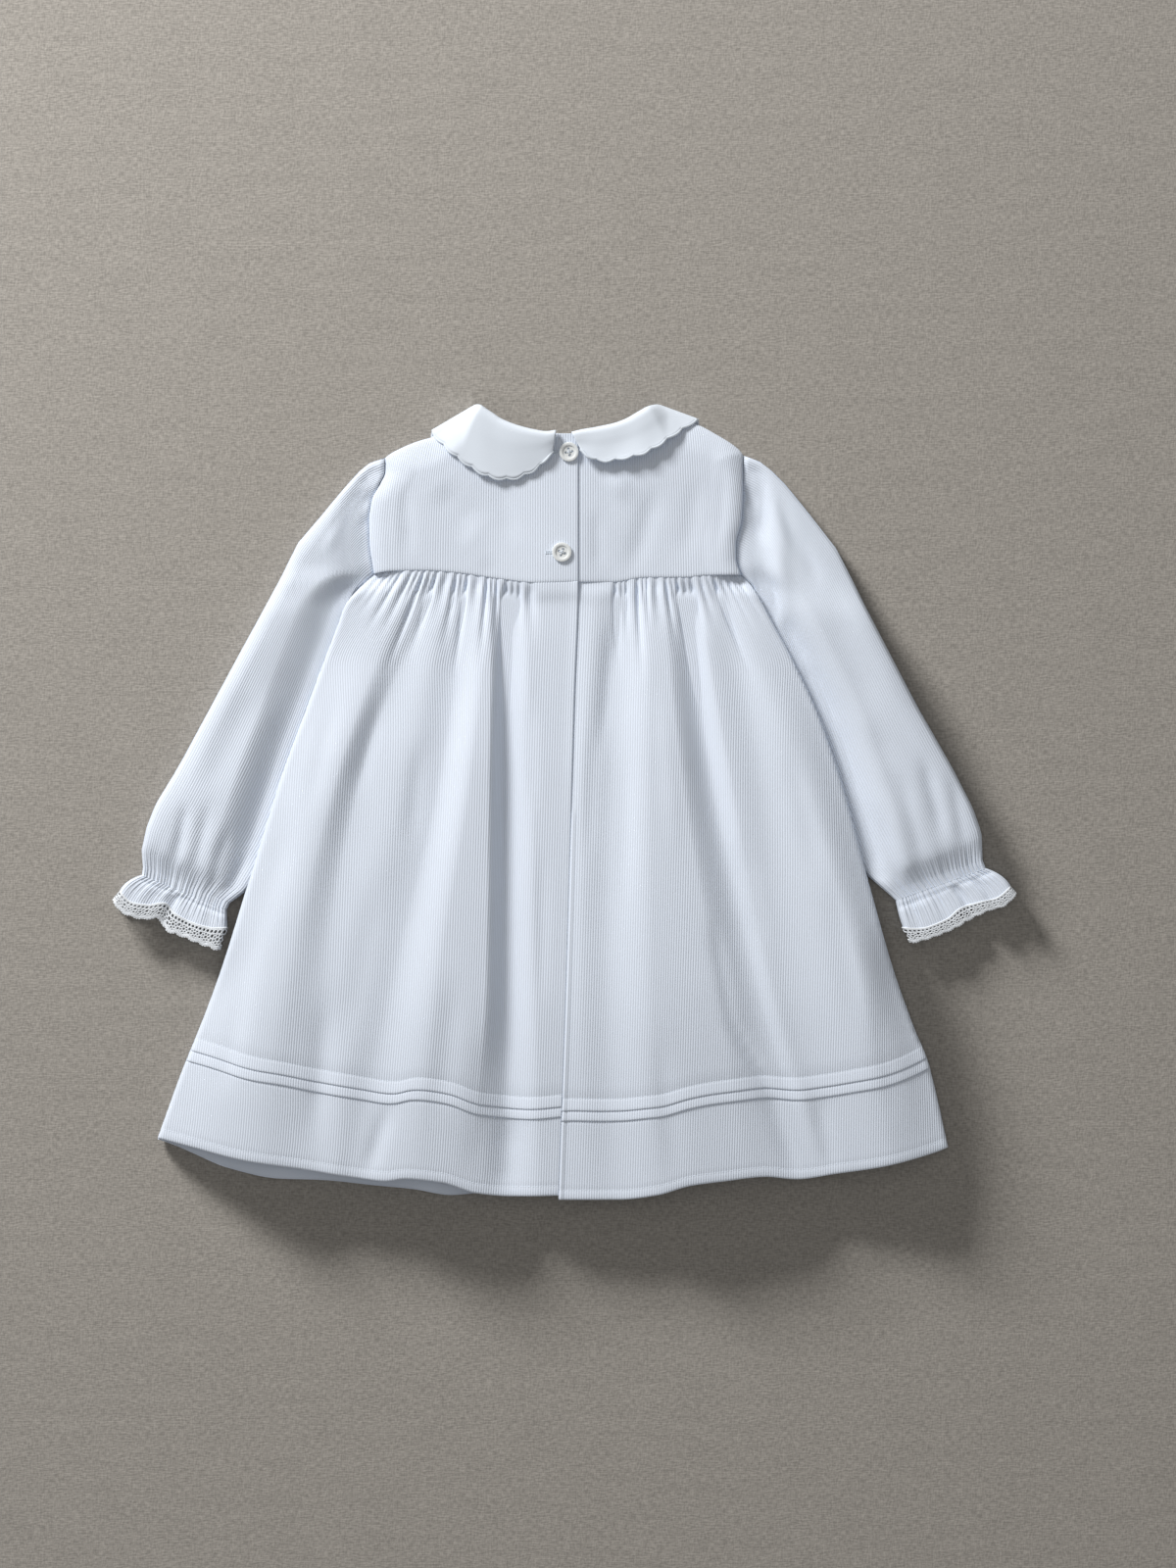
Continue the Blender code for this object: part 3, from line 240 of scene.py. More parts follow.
# Sleeves, from the armhole to the elastic: outer and inner edges.
SLEEVE_OUTER = {
    "left": ((-114.45, 218.2), (-124, 215.1), (-131.4, 208.9), (-143.2, 195.3), (-155, 181), (-169.3, 164.3),
             (-181, 140.7), (-212, 83.7), (-245.5, 21.7), (-259.8, -1.9), (-265.4, -16.1), (-268.5, -30.4),
             (-267.6, -43)),
    "right": ((114.15, 219.5), (123.4, 216.4), (130.2, 211.4), (139.5, 202.1), (150.7, 188.5), (173, 160),
              (189.1, 127.7), (223.8, 60.8), (245.5, 22.9), (259.2, -3.7), (264.9, -20), (265.4, -38.4)),
}
SLEEVE_INNER = {
    "left": ((-121.25, 144.5), (-133.2, 133.2), (-140, 118), (-144, 95), (-151, 70), (-162, 35), (-173, 0),
             (-187, -33), (-201.5, -56.4), (-213.6, -65)),
    "right": ((112.35, 143.8), (120.8, 136.4), (127.4, 120), (133, 98), (141, 75), (152, 45), (164, 10),
              (177, -20), (191.6, -46), (206, -58.5)),
}
# Lines across the wrist, outer and inner end: start of the casing, edge of the frill, edge of the lace.
ELASTIC = {"left": ((-268.2, -46.5), (-214.8, -68.6)), "right": ((267.2, -42.2), (210.4, -62.4))}
FRILL_END = {"left": ((-282.7, -57), (-216.4, -86.2)), "right": ((283.6, -54.2), (217.8, -87))}
LACE_END = {"left": ((-287.7, -63.2), (-219.2, -96.2)), "right": ((287.7, -58.9), (219.8, -90.8))}
# How far the frill's and the lace's edges wander from straight: across the wrist, frill, lace.
FRILL_WAVE = {
    "left": ((0, 0, 0), (0.13, 3.6, 4.4), (0.28, 1.2, 3.2), (0.42, -4.2, -1.6), (0.52, -0.8, 3.0),
             (0.68, 0.2, 1.6), (0.85, -1.2, 1.0), (1, -5.5, 0)),
    "right": ((0, 0, 0), (0.15, 2.6, 3.6), (0.3, 0.2, 2.0), (0.48, -1.6, 2.6), (0.62, 0.6, 3.2),
              (0.8, -0.4, 2.4), (0.91, -3.2, 1.4), (1, -7, 0)),
}
FLAT_TUBE = 5.2          # height of the sleeve under its crown, down the arm and beside the yoke
OPEN_TUBE = 3.7
TUBE_EDGE = 1.9          # mid-height of a tube's folded side, and radius of the fold
TUBE_ROUND = 3.0
UNDERSIDE = 0.25         # height of the sleeve's under side
SLEEVE_LOW = 3.0         # least height of its top in the creases
# Crown of the sleeve's top: part of the way down, and height.
SLEEVE_CROWN = ((0, 6), (0.15, 9.5), (0.4, 11), (0.75, 10.5), (0.93, 7.5), (1, 4.2))
# The sleeve's head beside the yoke: least part of the crown, and where off the yoke it begins and is whole.
HEAD_CLEAR = {"left": (0.5, 0, 26), "right": (0.35, 9, 20)}
HEAD_DROP = {"left": 0.25, "right": 0.0}    # part of the crown that the head has less
SLEEVE_TILT = {"left": (0.4, 0.3), "right": (0.45, 0.85)}    # how much lower the crown is outside: arm, head
# Soft creases of the sleeves, as on the skirt.
SLEEVE_CREASES = {
    "left": ((-125, 196, -125, 152, 0.8, 4), (-121, 211, -130, 200, 0.9, 3), (-130, 200, -144, 172, 1.0, 5),
             (-137, 186, -150, 160, -0.9, 4), (-165, 120, -186, 62, 1.2, 8), (-190, 110, -215, 62, -0.8, 9),
             (-200, 62, -226, 10, 1.0, 9), (-232, 40, -252, -10, 1.0, 8), (-186, 20, -204, -40, 1.3, 8),
             (-240, -4, -246, -36, 1.5, 4), (-226, -6, -236, -50, 1.4, 4.5), (-214, -20, -226, -58, 1.4, 4),
             (-203, -36, -216, -62, 1.2, 4)),
    "right": ((121, 208, 126, 166, 3.6, 6), (126, 166, 132, 116, 3.8, 6), (131, 202, 140, 162, -1.2, 4.5),
              (140, 114, 153, 90, 2.4, 6), (153, 90, 170, 53, 2.8, 6.5), (170, 53, 186, 4, 2.8, 7),
              (186, 4, 200, -47, 2.6, 7), (134, 162, 140, 124, -1.4, 6), (130, 204, 148, 160, 1.4, 5),
              (150, 168, 160, 140, 1.0, 5), (168, 120, 196, 60, 1.2, 9), (186, 130, 214, 74, -0.8, 8),
              (196, 44, 214, 0, 1.2, 8), (228, 22, 239, -18, 2.0, 5), (246, 10, 254, -32, 1.3, 4.5),
              (214, 10, 228, -44, 1.3, 5), (200, -10, 214, -56, 1.3, 4.5)),
}
# Wrist gathers: place across the wrist, depth, length up the sleeve in millimetres, half-width.
WRIST_GATHERS = {
    "left": ((0.07, 0.9, 26, 2.4), (0.14, 1.3, 44, 2.6), (0.2, 0.7, 18, 1.6), (0.26, 1.1, 30, 2.2),
             (0.33, 1.5, 52, 3.0), (0.4, 0.8, 20, 1.6), (0.46, 1.2, 36, 2.2), (0.53, 0.8, 24, 1.7),
             (0.59, 1.4, 48, 2.6), (0.66, 0.8, 20, 1.6), (0.73, 1.2, 38, 2.4), (0.8, 0.8, 22, 1.8),
             (0.86, 1.0, 34, 2.4), (0.93, 0.8, 20, 2.0)),
    "right": ((0.06, 0.9, 24, 2.2), (0.13, 1.4, 50, 2.8), (0.19, 0.8, 20, 1.6), (0.25, 1.2, 34, 2.0),
              (0.31, 0.8, 22, 1.6), (0.37, 1.5, 56, 3.0), (0.43, 0.8, 18, 1.6), (0.49, 1.2, 40, 2.2),
              (0.55, 0.9, 24, 1.7), (0.62, 1.3, 44, 2.6), (0.69, 0.7, 20, 1.8), (0.77, 0.9, 30, 2.4),
              (0.86, 0.6, 24, 2.4)),
}
PUCKERS = {"left": (25, 0.75), "right": (25, 1.2)}    # fine puckers across the casing: number and depth
CONVERGE = 0.8           # where the wales begin to draw together to the elastic, of the sleeve's length
# Broad folds of the frill: place across the wrist and depth.
FRILL_FOLDS = {"left": ((0.12, 0.3), (0.28, 0.4), (0.47, 1.9), (0.66, 0.4), (0.84, 0.5)),
               "right": ((0.2, 2.0), (0.41, 2.6), (0.62, 0.6), (0.88, 0.9))}
FRILL_FOLD_WIDTH = 0.05  # their half-width, of the wrist
FRILL_GATHERS = 0.65     # of the wrist's gathers that goes on into the frill
FRILL_HEIGHT = 6.0       # of its face, and the least that its folds leave
FRILL_LOW = 2.4
FRILL_REACH = 18.0       # length of casing and frill together
WRIST_HEIGHT = 5.2       # of the casing's face
LACE_HEIGHT = 4.6        # of its own edge, and of its under layer
LACE_UNDER = 0.6
LACE_REPEAT = 7.8        # length of one repeat, and depth from the frill's edge to its own
LACE_DEPTH = 11.0
PICOTS = (1.6, 0.95, 0.5)    # rings outside the lace's edge: pitch, place past it, radius

LOWEST = 1.5             # of the back's face, so that its wall stays over the surface
YOKE_ARCH = 9.6          # height over the chest, and how far in from the edges it is reached
YOKE_SLOPE = 24.0
YOKE_EDGE = 3.4          # height at the edges, and what it has more over the collar's front ends
OVER_COLLAR = 1.6
CHEST = (90, 62, 236)    # ellipse over those ends: half-widths and middle y, and where the yoke slopes off it
CHEST_SLOPE = (1.1, 1.4)
YOKE_FACE = 0.45         # the cloth's face over the solid's
YOKE_PRESS = 0.5         # how far the yoke's foot is pressed down at the seam
ARMHOLE_EDGE = {"left": 3.3, "right": 4.2}   # height of the yoke's edge over the sleeve
ARMHOLE_ROUND = 1.6      # radius of that edge
NECK_RISE = (3.4, -17, -9, 14, 24)   # neck edge between the collar's ends: rise, x where it comes and goes
LAP_RISE = 2.1           # of the left half over the right one, reached between these x
STAND_EDGE = (-52, -8)
UNDERLAP_RISE = 0.9      # of the right half along the edge that laps over it
YOKE_CREASES = (
    (-78, 196, -58, 176, 1.1, 10), (-101, 196, -98, 160, 0.7, 5), (-40, 200, -34, 168, 0.5, 7),
    (-62, 168, -50, 150, -0.5, 7), (30, 196, 40, 206, -1.0, 9), (57, 194, 44, 150, 1.0, 7),
    (84, 200, 78, 160, 0.7, 7), (100, 205, 98, 165, 0.6, 5), (20, 180, 22, 150, 0.6, 5),
)

# Collar halves: columns from centre back over the shoulder to centre front, as (inner x, y, outer x, y).
COLLAR = {
    "left": ((-5.2, 234, -7.4, 221.6), (-13.6, 233.4, -13.5, 215.6), (-28.5, 236.8, -22, 209.4),
             (-39.7, 241.2, -34, 205.3), (-45.3, 244.9, -47.7, 206.9), (-50, 248, -60.8, 214.3),
             (-53.3, 250.3, -73, 224), (-55.6, 251.0, -81.6, 233.4), (-56.6, 251.1, -83.3, 235.4),
             (-57.1, 250.4, -83.4, 233.6), (-54, 240, -78, 212), (-49, 230, -69, 198), (-41, 220, -56, 186.5),
             (-30.5, 212, -41, 180), (-18, 207.4, -24, 178), (-9, 205.8, -10.5, 181), (-3, 205.2, -4, 190)),
    "right": ((4.6, 233, 10.2, 222.4), (10.8, 234.6, 14.6, 219), (20, 236.2, 23.6, 216.4),
              (31.6, 238.7, 36, 217.8), (39.7, 241.8, 48.4, 220.7), (47, 246, 57.6, 225.4),
              (52.7, 249.2, 68.5, 232.8), (57.7, 250.9, 80.8, 241.0), (60.0, 251.1, 84.2, 242.2),
              (60.2, 250.5, 84, 240.6), (55, 240, 78, 213), (49.5, 230, 69, 198), (41, 220, 56, 186.5),
              (30.5, 212, 41, 180), (18, 207.4, 24, 178), (9, 205.8, 10.5, 181), (3, 205.2, 4, 190)),
}
COLLAR_FOLD = 8          # the column along the shoulder
COLLAR_BEND = 0.3        # length of the turn there, in columns
COLLAR_TURN = 1.1        # radius of the turn
COLLAR_FOLD_HEIGHT = 4.2
COLLAR_RISE = {"left": 0.4, "right": 3.4}    # how far the outer edge stands off the yoke
# Height over the yoke from the neck's roll (0) to the edge (1).
COLLAR_ACROSS = ((0, 1.6), (0.025, 3.8), (0.12, 4.8), (0.3, 4.5), (0.6, 3.2), (1, 1.6))

BUTTON_AT = {"upper": (2.9, 221.2), "lower": (-1.6, 157.8)}
BUTTON_TURN = {"upper": -34, "lower": 24}    # of the holes, in degrees
HOLE_PITCH = 1.45        # half the side of the square that the holes' middles make, and a hole's radius
HOLE_RADIUS = 0.8
BUTTONHOLE_REACH = {"lower": 9.6, "upper": 9.0}    # from the button's middle to its buttonhole's far end
UV_SCALE = 0.01          # of the cloth's UV coordinates, for a millimetre


# ---------------------------------------------------------------- curves and surfaces

def slopes(x, z):
    """Slope at each knot: the harmonic mean of the slopes beside it, and zero at crests and troughs."""
    step = np.diff(z, axis=-1) / np.maximum(np.diff(x, axis=-1), 1e-6)
    a, b = step[..., :-1], step[..., 1:]
    inner = np.where(a * b > 0, 2 * a * b / np.where(np.abs(a + b) > 1e-9, a + b, 1.0), 0.0)
    return np.concatenate([step[..., :1], inner, step[..., -1:]], axis=-1)


def cubic(t, h, z0, m0, z1, m1):
    """Hermite cubic at part t of a stretch of length h, from z0 with slope m0 to z1 with slope m1."""
    return ((1 + 2 * t) * (1 - t) ** 2 * z0 + t * (1 - t) ** 2 * h * m0
            + t * t * (3 - 2 * t) * z1 + t * t * (t - 1) * h * m1)


def through(x_knots, z_knots, x):
    """Cubic line through knots that may differ at every point, with those slopes, so never past its knots."""
    m = slopes(x_knots, z_knots)
    last = x_knots.shape[-1] - 2
    i = np.clip(np.sum(x[..., None] >= x_knots, axis=-1) - 1, 0, last)[..., None]
    x0, x1 = (np.take_along_axis(x_knots, i + k, -1)[..., 0] for k in (0, 1))
    z0, z1 = (np.take_along_axis(z_knots, i + k, -1)[..., 0] for k in (0, 1))
    m0, m1 = (np.take_along_axis(m, i + k, -1)[..., 0] for k in (0, 1))
    h = np.maximum(x1 - x0, 1e-6)
    return cubic(np.clip((x - x0) / h, 0, 1), h, z0, m0, z1, m1)


def read(table, at, column=1):
    """A table's column at each place, on a smooth line through its rows."""
    rows = np.array(sorted(table), float)
    at = np.asarray(at, float)
    knots, values = rows[:, 0], rows[:, column]
    m = slopes(knots, values)
    i = np.clip(np.searchsorted(knots, at, side="right") - 1, 0, len(knots) - 2)
    h = knots[i + 1] - knots[i]
    t = np.clip((at - knots[i]) / np.maximum(h, 1e-6), 0, 1)
    return cubic(t, h, values[i], m[i], values[i + 1], m[i + 1])


def smooth_read(values, at):
    """Values at places between whole numbers, on a cubic with half the rise between neighbours as slopes."""
    m = np.gradient(values)
    i = np.clip(np.floor(at).astype(int), 0, len(values) - 2)
    return cubic(at - i, 1.0, values[i], m[i], values[i + 1], m[i + 1])


def ease(a, b, x):
    """0 before a, 1 past b, and three t squared less two t cubed between."""
    t = np.clip((x - a) / (b - a), 0, 1)
    return t * t * (3 - 2 * t)


def quarter(d, radius):
    """Height of a quarter circle, from 0 at d = 0 to 1 at d = radius and past it."""
    return np.sqrt(np.clip(1 - (1 - np.clip(d / radius, 0, 1)) ** 2, 0, 1))


def bell(off, half):
    """1 at a distance of 0, falling off as e to less the square of the distance in half-widths."""
    return np.exp(-(off / half) ** 2)


def creased(x, y, z, table):
    """z less each crease: its depth times a bell of the distance to its line, which fades at both ends."""
    for x0, y0, x1, y1, depth, half in table:
        dx, dy = x1 - x0, y1 - y0
        length = np.hypot(dx, dy)
        t = ((x - x0) * dx + (y - y0) * dy) / length ** 2
        off = ((x - x0) * dy - (y - y0) * dx) / length
        z = z - depth * bell(off, half) * ease(-0.25, 0.3, t) * (1 - ease(0.7, 1.25, t))
    return z


def along(points, parts):
    """Points at parts of a line's length."""
    p = np.array(points, float)
    run = np.concatenate([[0], np.cumsum(np.hypot(*np.diff(p, axis=0).T))])
    return np.stack([np.interp(parts, run / run[-1], p[:, k]) for k in (0, 1)], -1)


# ---------------------------------------------------------------- meshes

def whole(tris):
    """The triangles that have three different points."""
    return tris[(tris[:, 0] != tris[:, 1]) & (tris[:, 1] != tris[:, 2]) & (tris[:, 0] != tris[:, 2])]


def cell_triangles(ids):
    """Two triangles for each cell of the last two axes of an array of point numbers."""
    a, b, c, d = ids[..., :-1, :-1], ids[..., :-1, 1:], ids[..., 1:, 1:], ids[..., 1:, :-1]
    return np.concatenate([np.stack(t, -1).reshape(-1, 3) for t in ((a, b, c), (a, c, d))])


def solid_object(name, points, tris, material, uv=None, smooth=True):
    """One object at the origin from points in millimetres and triangles; a closed mesh is turned outward."""
    used, tris = np.unique(tris, return_inverse=True)
    points, tris = np.asarray(points, float)[used], tris.reshape(-1, 3)
    corner = points[tris]
    if np.einsum("ij,ij->", corner[:, 0], np.cross(corner[:, 1], corner[:, 2])) < 0:
        tris = tris[:, ::-1]
    mesh = bpy.data.meshes.new(name)
    mesh.vertices.add(len(points))
    mesh.vertices.foreach_set("co", (points * MM).astype(np.float32).ravel())
    mesh.loops.add(tris.size)
    mesh.loops.foreach_set("vertex_index", tris.astype(np.int32).ravel())
    mesh.polygons.add(len(tris))
    mesh.polygons.foreach_set("loop_start", np.arange(0, tris.size, 3, dtype=np.int32))
    if uv is not None:
        layer = mesh.uv_layers.new(name="cloth")
        layer.uv.foreach_set("vector", np.asarray(uv)[used][tris.ravel()].astype(np.float32).ravel())
    mesh.update(calc_edges=True)
    mesh.validate()
    mesh.polygons.foreach_set("use_smooth", np.full(len(mesh.polygons), smooth))
    mesh.materials.append(material)
    obj = bpy.data.objects.new(name, mesh)
    bpy.context.scene.collection.objects.link(obj)
    return obj


def step_lengths(path):
    """Distance from each point of each row of path to the next."""
    return np.linalg.norm(np.diff(path, axis=1), axis=-1)


def sums(step):
    """Running sums of each row, from 0."""
    return np.concatenate([np.zeros((len(step), 1)), np.cumsum(step, 1)], 1)


def lengths(path):
    """Length along each row of path up to each of its points."""
    return sums(step_lengths(path))


def points_at(at, run, line):
    """Points of a line where its run has those values, held at both ends."""
    return np.stack([np.interp(at, run, line[:, k]) for k in range(3)], -1)


def from_middle(path):
    """Lengths along the rows so that the rows' middle points all have the same one."""
    run = lengths(path)
    middle = run[:, run.shape[1] // 2]
    return run + (middle.max() - middle)[:, None]


def lay(path, run, columns):
    """Points of each row of path where its run has those values, and each row's first and last column."""
    points = np.stack([points_at(columns, r, row) for r, row in zip(run, path)])
    first = np.array([max(int(np.searchsorted(columns, r[0], side="right")) - 1, 0) for r in run])
    last = np.array([min(int(np.searchsorted(columns, r[-1])), len(columns) - 1) for r in run])
    return points, first, last


def upward(points, sign):
    """Unit normals of a grid of points, turned so that they mostly point up (sign 1) or down (-1)."""
    n = np.cross(np.gradient(points, axis=1), np.gradient(points, axis=0))
    size = np.linalg.norm(n, axis=-1, keepdims=True)
    n = np.where(size > 1e-7, n / np.maximum(size, 1e-7), (0.0, 0.0, 1.0))
    return n if n[..., 2].mean() * sign > 0 else -n


# A wale's section for each number of points: part of the pitch, part of the height.
WALE_PHASES = {4: ((0, 0.0), (0.17, 0.82), (0.5, 1.0), (0.83, 0.82)), 2: ((0, 0.0), (0.5, 1.0))}


def shell_walls(index, under, picks, per_wale, ends, under_ends):
    """Triangles of the narrow walls round a shell, between the point numbers of its face and its inside."""
    groups, final = [], index.shape[1] - 1
    for row, turn in ((0, 1), (-1, -1)):
        for k in range(per_wale):
            near = index[row, np.minimum(picks[:-1] + k, final)]
            far = index[row, np.minimum(picks[:-1] + k + 1, final)]
            groups.append(np.stack([near, under[row, :-1], far], -1)[:, ::turn])
        end = index[row, np.minimum(picks[1:], final)]
        groups.append(np.stack([end, under[row, :-1], under[row, 1:]], -1)[:, ::turn])
    every = np.arange(len(index))
    for top, low, turn in ((index[:, 0], under[:, 0], -1), (index[every, ends], under[every, under_ends], 1)):
        groups.append(np.stack([top[:-1], low[:-1], low[1:]], -1)[:, ::turn])
        groups.append(np.stack([top[:-1], low[1:], top[1:]], -1)[:, ::turn])
    return groups


def corduroy(name, path, rows_shown, material, sizes, run=None, down=False, per_wale=4):
    """A piece of corduroy as a closed shell.

    path: (rows, samples, 3), lines across the piece; run: how much cloth lies on each line up to each of its
    samples, by default its length. A wale stands wherever the run is a whole number of pitches. A point of
    the face is its point on the line plus the wale's height along the normal; the inside is every groove's
    point, the wall's thickness away.
    """
    pitch, height, wall = sizes.wale_pitch / MM, sizes.wale_height / MM, sizes.cloth_wall / MM
    run = lengths(path) if run is None else run
    count = int(np.ceil(run.max() / pitch)) + 1
    parts = np.array(WALE_PHASES[per_wale])
    columns = np.append(((np.arange(count)[:, None] + parts[:, 0]) * pitch).ravel(), count * pitch)
    cycle = np.interp((columns / pitch) % 1, np.append(parts[:, 0], 1), np.append(parts[:, 1], 0))
    base, first, last = lay(path, run, columns)
    sign = -1 if down else 1
    normal = upward(base, sign)
    stand = np.clip(normal[..., 2] * sign, 0.25, 1)
    raise_by = height * cycle[None] * np.asarray(rows_shown)[:, None] * (0.3 + 0.7 * stand)
    face = base + normal * raise_by[..., None]
    rows = np.arange(len(path))[:, None]
    index = np.clip(np.arange(len(columns))[None], first[:, None], last[:, None]) + rows * len(columns)
    under_first, under_last = first // per_wale, -(-last // per_wale)
    picks = np.arange(0, len(columns) + per_wale, per_wale)
    under_column = np.clip(picks[None], first[:, None], last[:, None])
    under = np.take_along_axis(base, under_column[..., None], 1)
    inward = wall * np.minimum(1 / np.take_along_axis(stand, under_column, 1), 1.6)
    under = under - np.array([0, 0, sign]) * inward[..., None]
    under_index = np.clip(np.arange(len(picks))[None], under_first[:, None], under_last[:, None])
    under_index = under_index + rows * len(picks) + face.shape[0] * face.shape[1]
    groups = [cell_triangles(index), cell_triangles(under_index[:, ::-1])]
    tris = np.concatenate(groups + shell_walls(index, under_index, picks, per_wale, last, under_last))
    run_down = lengths(base[None, :, 0])[0]
    uv_face = np.stack(np.broadcast_arrays(columns[None], run_down[:, None]), -1).reshape(-1, 2)
    # The inside's UV stays near the middle of a wale, so that the material's painted groove shade leaves it
    # plain.
    plain_side = pitch * (0.45 + 0.1 * under_column / len(columns))
    uv_under = np.stack(np.broadcast_arrays(plain_side, run_down[:, None]), -1).reshape(-1, 2)
    points = np.concatenate([face.reshape(-1, 3), under.reshape(-1, 3)])
    uv = np.concatenate([uv_face, uv_under]) * UV_SCALE
    return solid_object(name, points, whole(tris), material, uv)


def tubes(paths, radius, sides=5, closed=False, squash=1.0):
    """Round threads along paths (count, steps, 3): each ring is a circle of that radius square to the path.

    Returns points and triangles. squash flattens the circle along Z. An open path's ends are capped.
    """
    paths = np.asarray(paths, float)
    count, steps = paths.shape[:2]
    if closed:
        tangent = np.roll(paths, -1, 1) - np.roll(paths, 1, 1)
    else:
        tangent = np.gradient(paths, axis=1)
    tangent /= np.maximum(np.linalg.norm(tangent, axis=-1, keepdims=True), 1e-9)
    side = np.cross(tangent, (0.0, 0.0, 1.0))
    flat = np.linalg.norm(side, axis=-1, keepdims=True)
    side = np.where(flat > 1e-3, side / np.maximum(flat, 1e-3), (1.0, 0.0, 0.0))
    top = np.cross(side, tangent)
    turn = np.arange(sides) * 2 * np.pi / sides
    radius = np.broadcast_to(np.asarray(radius, float), (count, steps))[..., None, None]
    ring = side[:, :, None] * np.cos(turn)[:, None] + top[:, :, None] * (np.sin(turn) * squash)[:, None]
    points = paths[:, :, None] + radius * ring
    ids = np.arange(count * steps * sides).reshape(count, steps, sides)
    ids = np.concatenate([ids, ids[:, :, :1]], 2)
    if closed:
        ids = np.concatenate([ids, ids[:, :1]], 1)
    tris = [cell_triangles(ids)]
    if not closed:
        for k in range(1, sides - 1):
            tris.append(np.stack([ids[:, 0, 0], ids[:, 0, k + 1], ids[:, 0, k]], -1))
            tris.append(np.stack([ids[:, -1, 0], ids[:, -1, k], ids[:, -1, k + 1]], -1))
    return points.reshape(-1, 3), np.concatenate(tris)


def joined(parts):
    """Points and triangles of several meshes as one."""
    points, tris, start = [], [], 0
    for p, t in parts:
        points.append(p)
        tris.append(t + start)
        start += len(p)
    return np.concatenate(points), np.concatenate(tris)


# ---------------------------------------------------------------- materials

SHEEN_TINT = (0.7, 0.84, 1.0, 1)


def set_inputs(node, values):
    """Sets a shader node's inputs by name or number."""
    for socket, value in values.items():
        node.inputs[socket].default_value = value
    return node


def shader_nodes(name, colour, roughness, values):
    """A new material with its shader's colour, roughness and other inputs set.

    Returns the material, its nodes, its links and its shader.
    """
    material = bpy.data.materials.new(name)
    material.use_nodes = True
    tree = material.node_tree
    shader = tree.nodes["Principled BSDF"]
    shader.inputs["Base Color"].default_value = (*colour[:3], 1)
    shader.inputs["Roughness"].default_value = roughness
    return material, tree.nodes, tree.links, set_inputs(shader, values)


def bump_from(nodes, links, shader, height, strength, distance):
    """Bump on the shader from an output that gives the height."""
    bump = set_inputs(nodes.new("ShaderNodeBump"), {"Strength": strength, "Distance": distance})
    links.new(height, bump.inputs["Height"])
    links.new(bump.outputs["Normal"], shader.inputs["Normal"])


def noise_bump(nodes, links, shader, scale, strength, distance):
    """Bump from fine noise on the piece's own coordinates; returns the node that gives them."""
    place = nodes.new("ShaderNodeTexCoord")
    noise = set_inputs(nodes.new("ShaderNodeTexNoise"), {"Scale": scale, "Detail": 3.0})
    links.new(place.outputs["Object"], noise.inputs["Vector"])
    bump_from(nodes, links, shader, noise.outputs["Fac"], strength, distance)
    return place


def shaded(nodes, links, shader, part, colour, places, shades):
    """Base colour between two shades of a colour, as an output runs from one place to the other."""
    ramp = nodes.new("ShaderNodeValToRGB")
    for element, at, shade in zip(ramp.color_ramp.elements, places, shades):
        element.position = at
        element.color = (*(c * shade for c in colour[:3]), 1)
    links.new(part, ramp.inputs["Fac"])
    links.new(ramp.outputs["Color"], shader.inputs["Base Color"])
    return ramp


def tinted(nodes, links, shader, place, colour, scale, depth):
    """Base colour that varies softly between colour and a shade depth darker, by noise on the piece."""
    noise = set_inputs(nodes.new("ShaderNodeTexNoise"), {"Scale": scale, "Detail": 4.0})
    links.new(place.outputs["Object"], noise.inputs["Vector"])
    return shaded(nodes, links, shader, noise.outputs["Fac"], colour, (0.3, 0.7), (1 - depth, 1))


def cord_material(colours, sizes):
    """White needlecord: cut pile on the wales, and painted shade that darkens the grooves between them."""
    material, nodes, links, shader = shader_nodes("cord_pile", colours.cord, 0.95, {
        "Specular IOR Level": 0.1, "Sheen Weight": 0.2, "Sheen Roughness": 0.5, "Sheen Tint": SHEEN_TINT})
    place = noise_bump(nodes, links, shader, 2200, 0.5, 0.00014)
    tint = tinted(nodes, links, shader, place, colours.cord, 30, 0.025)
    # Painted shade in the grooves: the UV's X, folded once a wale, darkens the colour from 1 on the wales to
    # 0.82 in the grooves.
    uv = nodes.new("ShaderNodeUVMap")
    uv.uv_map = "cloth"
    split = nodes.new("ShaderNodeSeparateXYZ")
    cycle = set_inputs(nodes.new("ShaderNodeMath"), {1: 0.5 * sizes.wale_pitch / MM * UV_SCALE})
    cycle.operation = "PINGPONG"
    depth = set_inputs(nodes.new("ShaderNodeMapRange"), {
        "From Min": 0.0, "From Max": 0.18 * sizes.wale_pitch / MM * UV_SCALE, "To Min": 0.82, "To Max": 1.0})
    groove_shaded_colour = nodes.new("ShaderNodeVectorMath")
    groove_shaded_colour.operation = "SCALE"
    links.new(uv.outputs["UV"], split.inputs["Vector"])
    links.new(split.outputs["X"], cycle.inputs[0])
    links.new(cycle.outputs[0], depth.inputs["Value"])
    links.new(tint.outputs["Color"], groove_shaded_colour.inputs[0])
    links.new(depth.outputs["Result"], groove_shaded_colour.inputs["Scale"])
    links.new(groove_shaded_colour.outputs["Vector"], shader.inputs["Base Color"])
    return material


def cotton_material(colours):
    """Smooth plain-woven cotton of the collar, its weave so fine that it is only noise."""
    material, nodes, links, shader = shader_nodes("collar_lawn", colours.collar, 0.9, {
        "Specular IOR Level": 0.1, "Sheen Weight": 0.1, "Sheen Tint": SHEEN_TINT})
    place = noise_bump(nodes, links, shader, 1500, 0.5, 0.00012)
    tinted(nodes, links, shader, place, colours.collar, 40, 0.02)
    return material


def thread_material(name, colour, roughness=0.6):
    """Mercerised cotton thread, with the twist of its plies as fine noise."""
    material, nodes, links, shader = shader_nodes(name, colour, roughness, {"Sheen Weight": 0.2})
    place = noise_bump(nodes, links, shader, 5200, 0.4, 0.00006)
    tinted(nodes, links, shader, place, colour, 120, 0.05)
    return material


